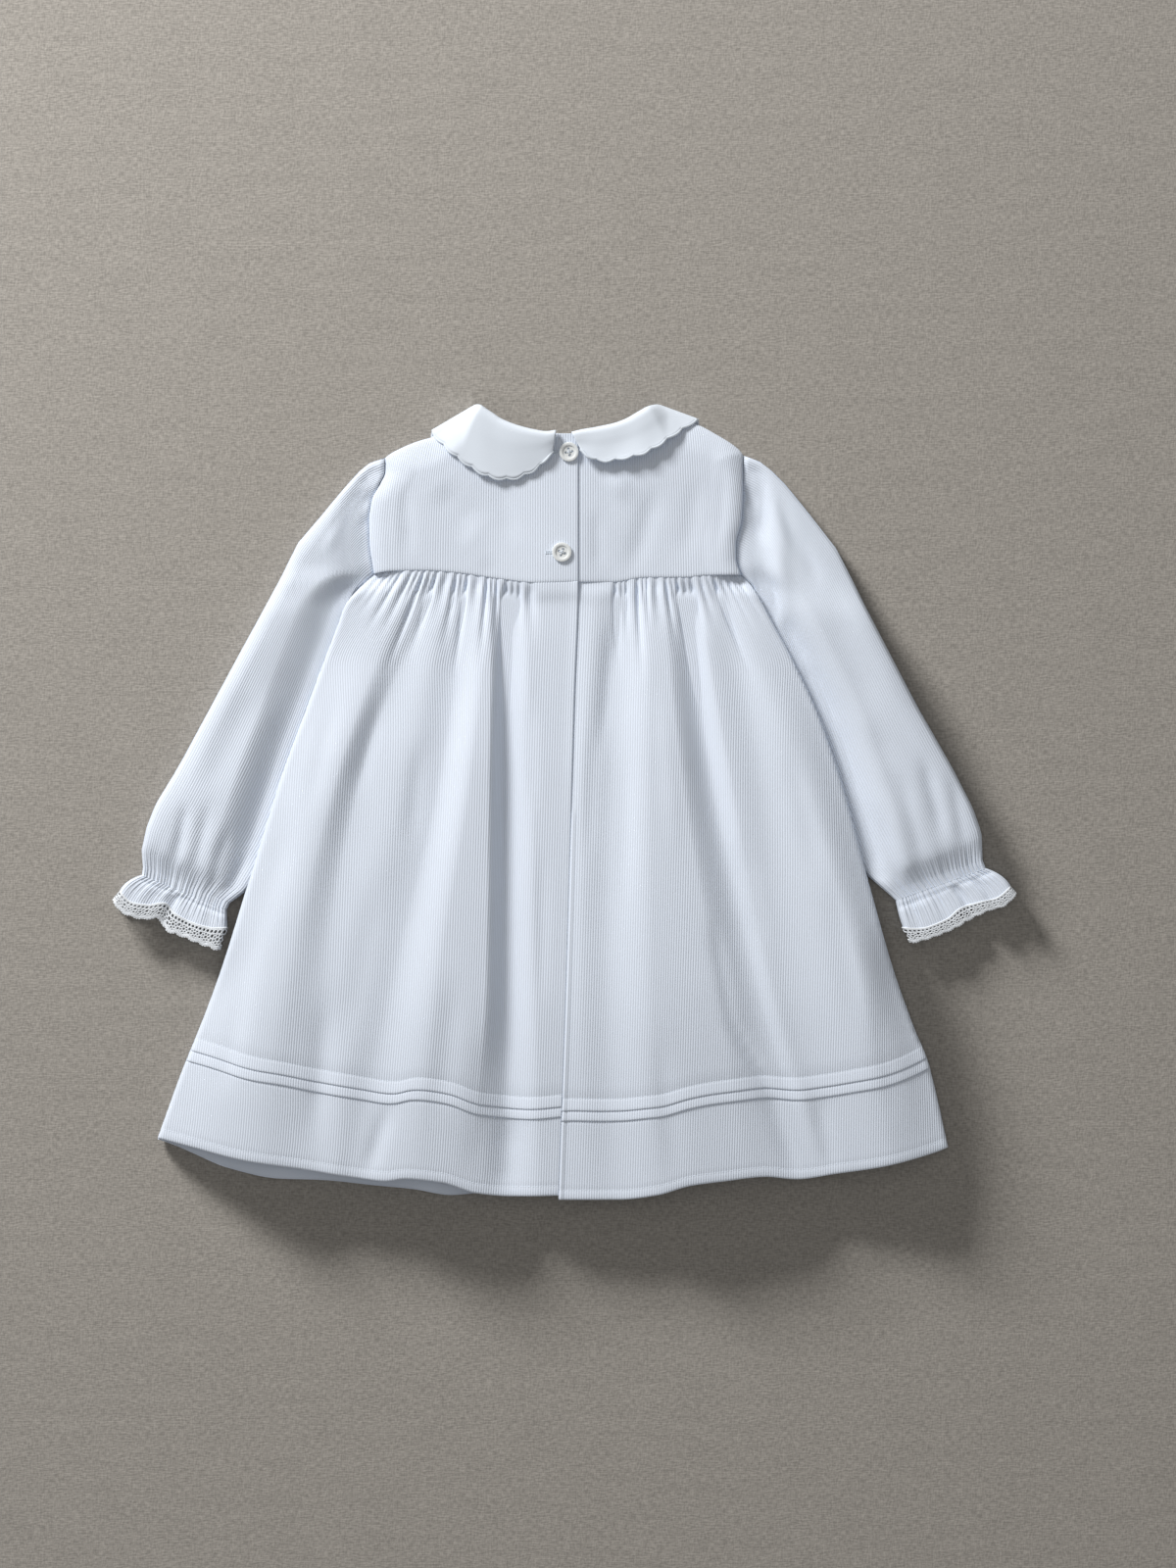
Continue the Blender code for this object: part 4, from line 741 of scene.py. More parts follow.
def button_material(colours):
    """Polished ivory button with faint streaks of shell."""
    material, nodes, links, shader = shader_nodes("button_ivory", colours.button, 0.28, {
        "Coat Weight": 0.35, "Coat Roughness": 0.12})
    tinted(nodes, links, shader, nodes.new("ShaderNodeTexCoord"), colours.button, 260, 0.07)
    return material


def floor_material(colours):
    """Pale woven linen-like floor, matt: noise drawn out along X, along Y and, as slubs, broadly along X."""
    material, nodes, links, shader = shader_nodes("floor", colours.floor, 0.97, {"Specular IOR Level": 0.1})
    place = nodes.new("ShaderNodeTexCoord")
    total = None
    for stretch, share in (((240, 1000, 1), 0.5), ((900, 300, 1), 0.4), ((30, 120, 1), 0.1)):
        mapping = set_inputs(nodes.new("ShaderNodeMapping"), {"Scale": stretch})
        noise = set_inputs(nodes.new("ShaderNodeTexNoise"), {"Scale": 1.0, "Detail": 2.0})
        add = set_inputs(nodes.new("ShaderNodeMath"), {1: share, 2: 0.0})
        add.operation = "MULTIPLY_ADD"
        links.new(place.outputs["Object"], mapping.inputs["Vector"])
        links.new(mapping.outputs["Vector"], noise.inputs["Vector"])
        links.new(noise.outputs["Fac"], add.inputs[0])
        if total is not None:
            links.new(total, add.inputs[2])
        total = add.outputs[0]
    shaded(nodes, links, shader, total, colours.floor, (0.38, 0.62), (0.78, 1.2))
    bump_from(nodes, links, shader, total, 0.25, 0.0005)
    return material


def shared_material(name, build, *args):
    """The material of that name, made once."""
    return bpy.data.materials.get(name) or build(*args)


# ---------------------------------------------------------------- garment surfaces

def lift(side, x, y):
    """Height that the sleeve's inner edge gives the skirt lying over it."""
    start, full, end, gone = LIFT_SPAN[side]
    inset = np.abs(x - read(SKIRT_SIDE[side], y))
    return LIFT * ease(start, full, y) * ease(gone, end, y) * (1 - ease(*LIFT_INSET, inset))


def panel(side_table, centre_table, top_table, foot_table, s, part, above):
    """Plan of a panel: y from its top line to `above` over its foot line, x from side (0) to centre (1)."""
    top_y, foot_y = side_table[0][0], side_table[-1][0]
    x_top = read(side_table, top_y) * (1 - s) + read(centre_table, top_y) * s
    x_foot = read(side_table, foot_y) * (1 - s) + read(centre_table, foot_y) * s
    y_top, y_foot = read(top_table, x_top), read(foot_table, x_foot)
    y = y_top + (y_foot[None] + above[:, None] - y_top) * part[:, None]
    x = read(side_table, y) * (1 - s) + read(centre_table, y) * s
    return x, y


def skirt_rows(count):
    """Rows of a skirt: part of the way down, above the hem, height over the panel, how much wale shows."""
    rows = [(part, TUCK_ROWS[0][0], 0.0, 1.0) for part in np.linspace(0, 1, count) ** 1.6]
    return np.array(rows + [(1.0, *row) for row in TUCK_ROWS[1:] + HEM_ROWS]).T


def gather_slits(side, x, down):
    """Depth of the gathers: bells across the cloth that get shallower and wider away from the seam."""
    rows = sorted(GATHERS[side])
    total = np.zeros_like(x)
    for i, (place, depth, length, drift) in enumerate(rows):
        near = min(abs(place - rows[j][0]) for j in (i - 1, i + 1) if 0 <= j < len(rows))
        t = np.clip(down / length, 0, 1)
        line = place + drift * t + read(GATHER_LEAN, place) * down
        total = total + depth * bell(x - line, near * GATHER_REACH * (1 + 1.3 * t)) * (1 - t) ** 1.5
    return total * (0.22 + 0.78 * ease(0, 8, down))


def fold_height(side, x, y, edge_x):
    """Height of the back skirt's folds: on each row a curve through its crests, its troughs and its side."""
    knots_x, knots_z = [], []
    for places, heights, keep in FOLDS[side]:
        kept = [mean + keep * (height - mean) for mean, height in zip(FOLD_MEANS, heights)]
        knots_x.append(read(tuple(zip(FOLD_LEVELS, places)) if places else CENTRE_BACK, y))
        knots_z.append(read(tuple(zip(FOLD_LEVELS, kept)), y))
    first = 0 if side == "left" else len(knots_x)
    knots_x.insert(first, edge_x)
    knots_z.insert(first, lift(side, edge_x, y) + SKIRT_EDGE)
    return through(np.stack(knots_x, -1), np.stack(knots_z, -1), x)


def with_underlap(x, y, z, run):
    """The right half's lines and run with the underlap in front, which ends at the foot of the slit."""
    reach = ease(SLIT_FOOT, SLIT_FOOT + 14, y[:, :1]) * UNDERLAP
    tail = np.linspace(1, 0, 12, endpoint=False)[None]
    x_tail = x[:, :1] - reach * tail
    sink = z[:, :1] - 0.25 * tail * reach / UNDERLAP
    lap = np.stack([x_tail, np.broadcast_to(y[:, :1], x_tail.shape), sink], -1)
    run = np.concatenate([UNDERLAP - reach * tail, UNDERLAP + run], 1)
    return np.concatenate([lap, np.stack([x, y, z], -1)], 1), run


def back_skirt_path(side):
    """Lines across a back skirt half from the centre back to the side: its folds, creases, and gathers sunk
    under the seam, then its tucks, and the side rolled down to the front's edge. The run is the length
    before the gathers sink, times what is gathered in, so the wales fan out below the seam."""
    part, above, rise, shown = skirt_rows(SKIRT_ROWS)
    s = np.linspace(1, 0, SKIRT_POINTS)
    x, y = panel(SKIRT_SIDE[side], CENTRE_BACK, YOKE_SEAM, HEM[side], s, part, above)
    down = y[:1] - y
    edge_x = read(SKIRT_SIDE[side], y)
    z = creased(x, y, fold_height(side, x, y, edge_x), SKIRT_CREASES)
    seam = yoke_height(x, read(YOKE_SEAM, x), side == "left") + YOKE_FACE - YOKE_PRESS
    z = seam + (z - seam) * ease(0, SEAM_BLEND, down)
    puff, place, half = SEAM_PUFF
    z = z + puff * bell(down - place, half)
    fullness = 1 + GATHERED * (1 - ease(0, GATHERED_DOWN, down)) * (
        1 - ease(-30, -18, x) if side == "left" else ease(24, 36, x))
    step = step_lengths(np.stack([x, y, z], -1))
    run = sums(step * 0.5 * (fullness[:, 1:] + fullness[:, :-1]))
    z = z - gather_slits(side, x, down)
    inset = np.abs(x - edge_x)
    low = lift(side, edge_x, y) + SIDE_LOW
    z = low + (np.maximum(z, low + 0.5) - low) * quarter(inset, SIDE_ROUND)
    z = np.maximum(z, lift(side, x, y) + 3.1 * quarter(inset, SIDE_ROUND) + 0.3)
    wander = 0.5 * np.sin(x / 17.0) + 0.35 * np.sin(x / 7.3 + 1.2)
    tucked = (above < TUCK_STITCH + 2) & (above > TUCK_ROWS[-1][0]) & (part == 1)
    y = y + wander * tucked[:, None]
    z = z + rise[:, None] * quarter(inset, 2.0)
    centre_x = read(CENTRE_BACK, y)
    if side == "right":
        z = z + 0.6 * ((1 - ease(SLIT_FOOT - 4, SLIT_FOOT + 4, y)) * bell(x - centre_x - 1.6, 1.1))
        path, run = with_underlap(x, y, z, run)
        return path, shown, run
    to_edge = np.abs(x - centre_x)
    z = z + 0.5 * ease(-30, 30, y) * bell(to_edge, 4.0)
    z = z - 0.9 * (1 - quarter(to_edge, 0.9))
    return np.stack([x, y, z], -1), shown, run


def tucked_under(path, shown, run):
    """The path with two more rows at its top that run on under the yoke."""
    drop, reach = UNDER_YOKE
    extra = path[:1] + np.array([[[0, reach, -drop]], [[0, 0.5 * reach, -0.6 * drop]]])
    extra[..., 2] = np.maximum(extra[..., 2], LOWEST)
    run = np.concatenate([run[:1], run[:1], run])
    return np.concatenate([extra, path]), np.concatenate([[0.5, 0.8], shown]), run


def front_rise(x, y):
    """Height of the front skirt's face over the surface: gathers, soft ridges, and the sleeves under it."""
    down = read(YOKE_SEAM, x) - y
    over_sleeve = np.where(x < 0, lift("left", x, y), lift("right", x, y))
    width = np.where(x < 0, -read(SKIRT_SIDE["left"], y), read(SKIRT_SIDE["right"], y))
    wave = 0.5 - 0.5 * np.cos(np.pi * FRONT_GATHERS * (1 + x / width))
    inset = width - np.abs(x)
    rise = FRONT_GATHER_RISE * wave * (1 - ease(0, 45, down)) * ease(3, 20, inset)
    part = np.clip(down / FRONT_LENGTH, 0, 1)
    for top, foot, height, half in FRONT_RIDGES:
        fade = height * ease(20, 90, down) * (1 - 0.5 * ease(250, FRONT_LENGTH, down))
        rise = rise + fade * bell(x - (top + (foot - top) * part), half)
    return over_sleeve + np.maximum(rise - 0.3, 0)


def joined_halves(left, right):
    """Plans of a left and a right half as one; the column that both have in the middle stays once."""
    return (np.concatenate([a, b[:, 1:]], 1) for a, b in zip(left, right))


def front_skirt_path():
    """Lines across the front skirt from its left side to its right: it lies on the surface, tucks lowest."""
    part, above, rise, shown = skirt_rows(FRONT_ROWS)
    half = np.linspace(0, 1, 500)
    left = panel(SKIRT_SIDE["left"], CENTRE_FRONT, YOKE_SEAM, FRONT_HEM, half, part, above)
    right = panel(SKIRT_SIDE["right"], CENTRE_FRONT, YOKE_SEAM, FRONT_HEM, half[::-1], part, above)
    x, y = joined_halves(left, right)
    inset = np.where(x < 0, x - read(SKIRT_SIDE["left"], y), read(SKIRT_SIDE["right"], y) - x)
    rest = 0.7 - 0.5 * rise[:, None]
    z = front_rise(x, y) + rest + 0.9 * (1 - quarter(inset, 3.0))
    return np.stack([x, y, z], -1), shown


def yoke_plan(side, centre, neck, s, part):
    """Plan of a yoke half: rows run down the armhole, columns from it (0) to the centre edge (1)."""
    (top_y, top_x), (foot_y, foot_x) = ARMHOLE[side][0], ARMHOLE[side][-1]
    y_top = read(neck, top_x * (1 - s) + centre * s)
    y = y_top + (read(YOKE_SEAM, foot_x * (1 - s) + centre * s) - y_top) * part[:, None]
    x = read(ARMHOLE[side], top_y + (foot_y - top_y) * part[:, None]) * (1 - s) + centre * s
    return x, y


def chest_slope(x, y):
    """1 over the collar's front ends and 0 off them, by how far from their ellipse's middle a place is."""
    wide, tall, middle = CHEST
    return 1 - ease(*CHEST_SLOPE, np.hypot(x / wide, (y - middle) / tall))


def yoke_height(x, y, lapped):
    """Top of the back yoke: low at armholes and shoulders, high over the chest, the stand lapped over."""
    to_side = np.where(x < 0, x - read(ARMHOLE["left"], y), read(ARMHOLE["right"], y) - x)
    to_neck = read(BACK_NECK, x) - y
    low = OVER_COLLAR * chest_slope(x, y) + YOKE_EDGE
    arch = YOKE_ARCH + 0.6 * np.sin(x / 19.0) * np.sin((y - 150) / 22.0)
    off_shoulder = to_neck + YOKE_SLOPE * (1 - ease(50, 66, np.abs(x)))
    near = np.clip(1 - np.minimum(to_side, off_shoulder) / YOKE_SLOPE, 0, 1)
    z = arch - (arch - np.minimum(low, arch)) * near ** 2 * ease(0, 0.5, near)
    if lapped:
        z = z + LAP_RISE * ease(*STAND_EDGE, x)
    return np.maximum(z, low)


def back_yoke_path(side):
    """Lines across a back yoke half from its centre edge to the armhole, pressed over at its seams."""
    part = np.concatenate([[0, 0.004, 0.012], np.linspace(0.03, 0.965, 40), [0.978, 0.986, 0.992, 0.997, 1]])
    s = np.linspace(1, 0, 700)
    x, y = yoke_plan(side, STAND_X if side == "left" else UNDERLAP_X, BACK_NECK, s, part)
    rise, come, full, gone, off = NECK_RISE
    y = y + rise * ease(come, full, x) * (1 - ease(gone, off, x)) * (1 - ease(0, 0.12, part))[:, None]
    lapped = side == "left"
    z = yoke_height(x, y, lapped)
    arm = np.abs(x - read(ARMHOLE[side], y))
    height = ARMHOLE_EDGE[side]
    z = z + height * (1 - ease(2, 22, arm)) * ease(0, 30, read(BACK_NECK, x) - y)
    z = creased(x, y, z, YOKE_CREASES) + YOKE_FACE
    foot = y - read(YOKE_SEAM, x)
    z = z - YOKE_PRESS * (1 - quarter(foot, 2.4))
    z = z - (height + 0.6) * (1 - quarter(arm, ARMHOLE_ROUND))
    if not lapped:
        z = z + UNDERLAP_RISE * (1 - ease(0, 22, x - STAND_X))
    shoulder = (read(BACK_NECK, x) - y) + 6 * (1 - ease(56, 70, np.abs(x)))
    z = z - 1.4 * (1 - quarter(shoulder, 3.0))
    if lapped:
        z = z - 0.8 * (1 - quarter(STAND_X - x, 1.0))
    return np.stack([x, y, np.maximum(z, LOWEST)], -1), np.ones(len(part))


def front_yoke_path():
    """Lines across the front yoke, left to right: on the surface, and over the collar's ends at the neck."""
    part = np.linspace(0, 1, 36)
    s = np.linspace(0, 1, 400)
    x, y = joined_halves(yoke_plan("left", 0.0, FRONT_NECK, s, part),
                         yoke_plan("right", 0.0, FRONT_NECK, s[::-1], part))
    return np.stack([x, y, 1.75 * chest_slope(x, y) + 0.4], -1), np.ones(len(part))


def outward(side, line):
    """Direction in plan from a cuff line towards the hand."""
    across = np.subtract(line[1], line[0])
    sign = 1 if side == "left" else -1
    return sign * np.array([across[1], -across[0]]) / np.hypot(*across)


def sleeve_base(side, x, y, part, w):
    """Top of the sleeve without gathers: flat where the skirt lies over it, fuller outside."""
    near_skirt = np.abs(x) - np.abs(read(SKIRT_SIDE[side], np.minimum(y, SKIRT_SIDE[side][0][0])))
    near_yoke = np.abs(x) - np.abs(read(ARMHOLE[side], y))
    start, full, end, _ = LIFT_SPAN[side]
    base = OPEN_TUBE + (FLAT_TUBE - OPEN_TUBE) * ease(start - 8, full - 12, y)
    by_yoke = ease(start - 9, start + 7, y)
    least, start_off, end_off = HEAD_CLEAR[side]
    head = least + (1 - least) * ease(start_off, end_off, near_yoke)
    clear = ease(6, 30, near_skirt) * (1 - by_yoke) + head * by_yoke
    clear = 1 - (1 - clear) * ease(end + 4, end + 24, y)
    from_edge = np.minimum(w, 1 - w)
    crown = read(SLEEVE_CROWN, part) * clear * quarter(from_edge, 0.16)
    arm_tilt, head_tilt = SLEEVE_TILT[side]
    tilt = arm_tilt + (head_tilt - arm_tilt) * ease(start - 40, start + 10, y)
    crown = crown * (1 - HEAD_DROP[side] * by_yoke) * (1 - tilt * (1 - w))
    return base, crown


def cuff_edges(side):
    """Rows of the cuff: outer and inner points, and part of the way from the elastic to the frill's edge."""
    elastic, frill = np.array(ELASTIC[side], float), np.array(FRILL_END[side], float)
    t = np.concatenate([np.linspace(0, 0.2, 6), np.linspace(0.27, 0.97, 9), [0.985, 1.0]])
    bow = np.array([-8.0 if side == "left" else 8.0, 4.0])[None] * (t * (1 - t))[:, None]
    outer, inner = (elastic[k] + (frill[k] - elastic[k]) * t[:, None] for k in (0, 1))
    return outer + bow, inner - 0.25 * bow, t


def frill_folds(side, w):
    """Depth of the frill's broad folds: a bell across the wrist for each."""
    return sum(depth * bell(w - place, FRILL_FOLD_WIDTH) for place, depth in FRILL_FOLDS[side])


def wrist_gathers(side, w, off, width):
    """Depth of the gathers off the casing: bells across the wrist that fade over their length."""
    total = np.zeros(np.broadcast_shapes(w.shape, off.shape))
    for place, depth, length, half in WRIST_GATHERS[side]:
        t = np.clip(off / length, 0, 1)
        total = total + depth * bell((w - place) * width, half * (1 + t)) * (1 - t) ** 1.3
    return total


def puckers(side, w):
    """Fine puckers of the elastic's casing: an uneven cosine across the wrist."""
    count, depth = PUCKERS[side]
    turns = count * w + 0.9 * np.sin(7 * w) + 0.4 * np.sin(23 * w)
    return depth * (1 - np.abs(np.cos(np.pi * turns))) ** 1.5


def sleeve_plan(side, rings, w):
    """Plan of a sleeve's lines and their widths: straight from outer to inner edge, but drawn to the curve of
    the armhole at the top, and with the frill's wave in the cuff's lines, which come last."""
    outer, inner = along(SLEEVE_OUTER[side], rings), along(SLEEVE_INNER[side], rings)
    plan = outer[:, None] + w[None, :, None] * (inner - outer)[:, None]
    (top_y, _), (foot_y, _) = ARMHOLE[side][0], ARMHOLE[side][-1]
    level = top_y + (foot_y - top_y) * w
    armhole = np.stack([read(ARMHOLE[side], level) + (-0.1 if side == "left" else 0.1), level], -1)
    plan = plan + (armhole - plan[0])[None] * (1 - ease(0, 0.2, rings))[:, None, None]
    cuff_outer, cuff_inner, t = cuff_edges(side)
    cuff = cuff_outer[:, None] + w[None, :, None] * (cuff_inner - cuff_outer)[:, None]
    wave = read(FRILL_WAVE[side], w, 1)[None] * (t ** 1.5)[:, None]
    cuff = cuff + wave[..., None] * outward(side, ELASTIC[side])
    across = np.concatenate([inner - outer, cuff_inner - cuff_outer])
    return np.concatenate([plan, cuff]), np.linalg.norm(across, axis=-1)[:, None]


def sleeve_run(plan, rows):
    """How much cloth lies on each line: its length, but past CONVERGE of the rows no less than lies there, so
    that the wales draw together to the elastic. The middles of all lines have the same."""
    run = lengths(plan)
    full = run[int(CONVERGE * rows), -1]
    short = (np.arange(len(run)) > CONVERGE * rows) & (run[:, -1] < full)
    run = run * np.where(short, full / run[:, -1], 1)[:, None]
    return run + 0.5 * (run[:, -1].max() - run[:, -1:])


def sleeve_height(side, plan, rings, w, wrist, casing):
    """Top of a sleeve down to the elastic: crown, creases, small waves at its head, and near the elastic the
    casing's height and the wrist's gathers."""
    x, y = np.moveaxis(plan, -1, 0)
    base, crown = sleeve_base(side, x, y, rings[:, None], w[None])
    z = np.maximum(creased(x, y, base + crown, SLEEVE_CREASES[side]), SLEEVE_LOW)
    head = 0.5 * np.cos(np.pi * 9 * w) * ease(0, 0.1, w) * (1 - ease(0.5, 0.7, w))
    z = z + head[None] * (1 - ease(0, 0.05, rings))[:, None]
    off = np.abs((plan - np.array(ELASTIC[side][0], float)) @ outward(side, ELASTIC[side]))
    z = casing + (z - casing) * ease(0, 22, off)
    return z - wrist_gathers(side, w[None], off, wrist) * ease(0, 3, off)


def frill_height(side, t, w, wrist, casing):
    """Top of the cuff: the casing with a row of stitches at both its edges, then the frill with its broad
    folds and what goes on into it of the casing's puckers and the wrist's gathers."""
    past = ease(0.14, 0.4, t)
    z = casing * (1 - past) + (FRILL_HEIGHT + 0.5 * np.sin(9 * w)[None] - frill_folds(side, w)[None]) * past
    z = z - 0.7 * past * puckers(side, w)[None] * (1 - ease(0.35, 1.0, t))
    reach = np.maximum(t - 0.17, 0) * FRILL_REACH
    z = z - FRILL_GATHERS * wrist_gathers(side, w[None], reach * 2.2, wrist)
    return np.maximum(z - 0.35 * (bell(t - 0.02, 0.025) + bell(t - 0.2, 0.025)), FRILL_LOW)


def sleeve_path(side, bottom=False):
    """Lines across a sleeve from its outer fold to its inner seam, down to the end of the frill."""
    if bottom:
        w = np.linspace(0, 1, 200)
        rings = np.linspace(0, 0.995, 30)
    else:
        w = np.linspace(0, 1, 700)
        stretches = ((0, 0.06, 6), (0.08, 0.93, 46), (0.945, 0.995, 8))
        rings = np.concatenate([np.linspace(*stretch) for stretch in stretches])
    rows = len(rings)
    plan, width = sleeve_plan(side, rings, w)
    edge = quarter(np.minimum(w, 1 - w)[None] * width, TUBE_ROUND)
    if bottom:
        z = UNDERSIDE + (TUBE_EDGE - UNDERSIDE) * (1 - edge)
    else:
        casing = WRIST_HEIGHT - puckers(side, w)[None]
        top = sleeve_height(side, plan[:rows], rings, w, width[rows], casing)
        frill = frill_height(side, cuff_edges(side)[2][:, None], w, width[rows], casing)
        z = TUBE_EDGE + (np.concatenate([top, frill]) - TUBE_EDGE) * edge
    return np.concatenate([plan, z[..., None]], -1), np.ones(len(plan)), sleeve_run(plan, rows)


def lace_point(side, w, b, top):
    """A point of one layer of the lace: w across the wrist, b from the frill's edge (0) to the lace's (1)."""
    start, end = np.array(FRILL_END[side], float), np.array(LACE_END[side], float)
    near = start[0] + (start[1] - start[0]) * w[..., None]
    far = end[0] + (end[1] - end[0]) * w[..., None]
    wander = read(FRILL_WAVE[side], w, 1) * (1 - b) + read(FRILL_WAVE[side], w, 2) * b
    plan = near * (1 - b[..., None]) + far * b[..., None] + wander[..., None] * outward(side, start)
    edge = quarter(np.minimum(w, 1 - w) * np.hypot(*(start[1] - start[0])), TUBE_ROUND)
    tall = FRILL_HEIGHT + 0.35 + (LACE_HEIGHT - FRILL_HEIGHT) * np.maximum(b, 0) ** 1.4
    tall = tall - frill_folds(side, w) * (1 - 0.25 * np.clip(b, 0, 1)) + 0.5 * np.sin(9 * w)
    z = TUBE_EDGE + (tall - TUBE_EDGE) * edge if top else LACE_UNDER + (TUBE_EDGE - LACE_UNDER) * (1 - edge)
    return np.concatenate([plan, np.maximum(z, 0.5)[..., None]], -1)


# ---------------------------------------------------------------- pieces

def finish_piece(obj, nodes=()):
    """Rides a piece on the dress's one body and hides the nodes it stands for."""
    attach(obj, BODY)
    if nodes:
        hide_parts(*nodes)


def back_skirts(sizes, colours):
    """Both back skirt halves, gathered to the yokes, with two tucks over the hem."""
    cord = shared_material("cord_pile", cord_material, colours, sizes)
    for side in SIDES:
        path, shown, run = tucked_under(*back_skirt_path(side))
        piece = corduroy(f"back_skirt_{side}_cord", path, shown, cord, sizes, run)
        finish_piece(piece, [f"back_skirt_{side}"])


def front_skirt(sizes, colours):
    """The front skirt, which lies on the surface with its face down."""
    cord = shared_material("cord_pile", cord_material, colours, sizes)
    path, shown = front_skirt_path()
    piece = corduroy("front_skirt_cord", path, shown, cord, sizes, from_middle(path), down=True, per_wale=2)
    finish_piece(piece, ["front_skirt"])


def yokes(sizes, colours):
    """Both back yokes, the left one lapped over the right, and the front yoke under them."""
    cord = shared_material("cord_pile", cord_material, colours, sizes)
    for side in SIDES:
        path, shown = back_yoke_path(side)
        piece = corduroy(f"back_yoke_{side}_cord", path, shown, cord, sizes)
        finish_piece(piece, [f"back_yoke_{side}"])
    path, shown = front_yoke_path()
    piece = corduroy("front_yoke_cord", path, shown, cord, sizes, from_middle(path), down=True, per_wale=2)
    finish_piece(piece, ["front_yoke"])


def sleeves(sizes, colours):
    """Both sleeves with their frills: a face on top and a plainer one below, folded to each other."""
    cord = shared_material("cord_pile", cord_material, colours, sizes)
    for side in SIDES:
        path, shown, run = sleeve_path(side)
        piece = corduroy(f"sleeve_{side}_cord", path, shown, cord, sizes, run)
        finish_piece(piece, [f"sleeve_{side}"])
        path, shown, run = sleeve_path(side, bottom=True)
        piece = corduroy(f"sleeve_{side}_under_cord", path, shown, cord, sizes, run, down=True, per_wale=2)
        finish_piece(piece)


def collar_surface(side, a, t):
    """Points of a collar half's outside and their normals: a from centre back to centre front in columns, t
    from the neck's roll to the edge. At the shoulder's column the cloth turns over in a half circle of radius
    COLLAR_TURN, whose angle runs from 0 to pi over COLLAR_BEND columns. It goes on below with straight lines
    between columns."""
    columns = np.array(COLLAR[side], float)
    back, front = np.minimum(a, COLLAR_FOLD), np.maximum(a - COLLAR_BEND, COLLAR_FOLD)
    corners = [np.where(a <= COLLAR_FOLD, smooth_read(column, back),
                        np.interp(front, np.arange(len(column)), column)) for column in columns.T]
    inner, outer = np.stack(corners[:2], -1), np.stack(corners[2:], -1)
    plan = inner + t[..., None] * (outer - inner)
    over = yoke_height(plan[..., 0], plan[..., 1], side == "left")
    across = read(COLLAR_ACROSS, np.clip(t, 0, 1))
    to_fold = COLLAR_FOLD - a
    stand_off = COLLAR_RISE[side] * np.clip(t, 0, 1.1) ** 2 * ease(0, 3, to_fold)
    wave = (0.5 * np.sin(1.9 * a + 0.6) * t ** 2 + 0.45 * np.sin(2.6 * a + 2.2 * t + 1.0) * t * (1.1 - t)
            ) * ease(0, 2, to_fold)
    z = over + across + stand_off + wave + 1.0
    z = z + (COLLAR_FOLD_HEIGHT - z) * ease(-2.4, 0, -to_fold)
    turn = np.pi * np.clip(-to_fold / COLLAR_BEND, 0, 1)
    x0, y0, x1, y1 = columns[COLLAR_FOLD]
    off = np.array([y0 - y1, x1 - x0]) / np.hypot(x1 - x0, y1 - y0)
    off = off * np.sign(off[1])
    plan = plan + COLLAR_TURN * np.sin(turn)[..., None] * off
    low = 0.1 + (COLLAR_FOLD_HEIGHT - 2 * COLLAR_TURN - 0.1) * (1 - ease(0, 1, front - COLLAR_FOLD))
    z = np.where(a > COLLAR_FOLD + COLLAR_BEND, low, z - COLLAR_TURN * (1 - np.cos(turn)))
    normal = np.concatenate([np.sin(turn)[..., None] * off, np.cos(turn)[..., None]], -1)
    return np.concatenate([plan, z[..., None]], -1), normal


def collar_columns(side, sizes):
    """Places along a collar half and how far each one's scallop stands out: ten to a scallop on the back
    and on the front part, and eight round the shoulder's turn."""
    start, parts = 0.0, []
    for end in (COLLAR_FOLD, len(COLLAR[side]) - 1 + COLLAR_BEND):
        fine = np.linspace(start, end, 3000)
        edge = collar_surface(side, fine, np.ones_like(fine))[0]
        run = lengths(edge[None, :, :2])[0]
        count = max(2, int(round(run[-1] / (sizes.scallop_width / MM))))
        at = np.linspace(0, count, count * 10 + 1)
        parts.append((np.interp(at / count * run[-1], run, fine), np.abs(np.sin(np.pi * at))))
        start = COLLAR_FOLD + COLLAR_BEND
    parts.insert(1, (np.linspace(COLLAR_FOLD, start, 10)[1:-1], np.zeros(8)))
    return (np.concatenate(part) for part in zip(*parts))


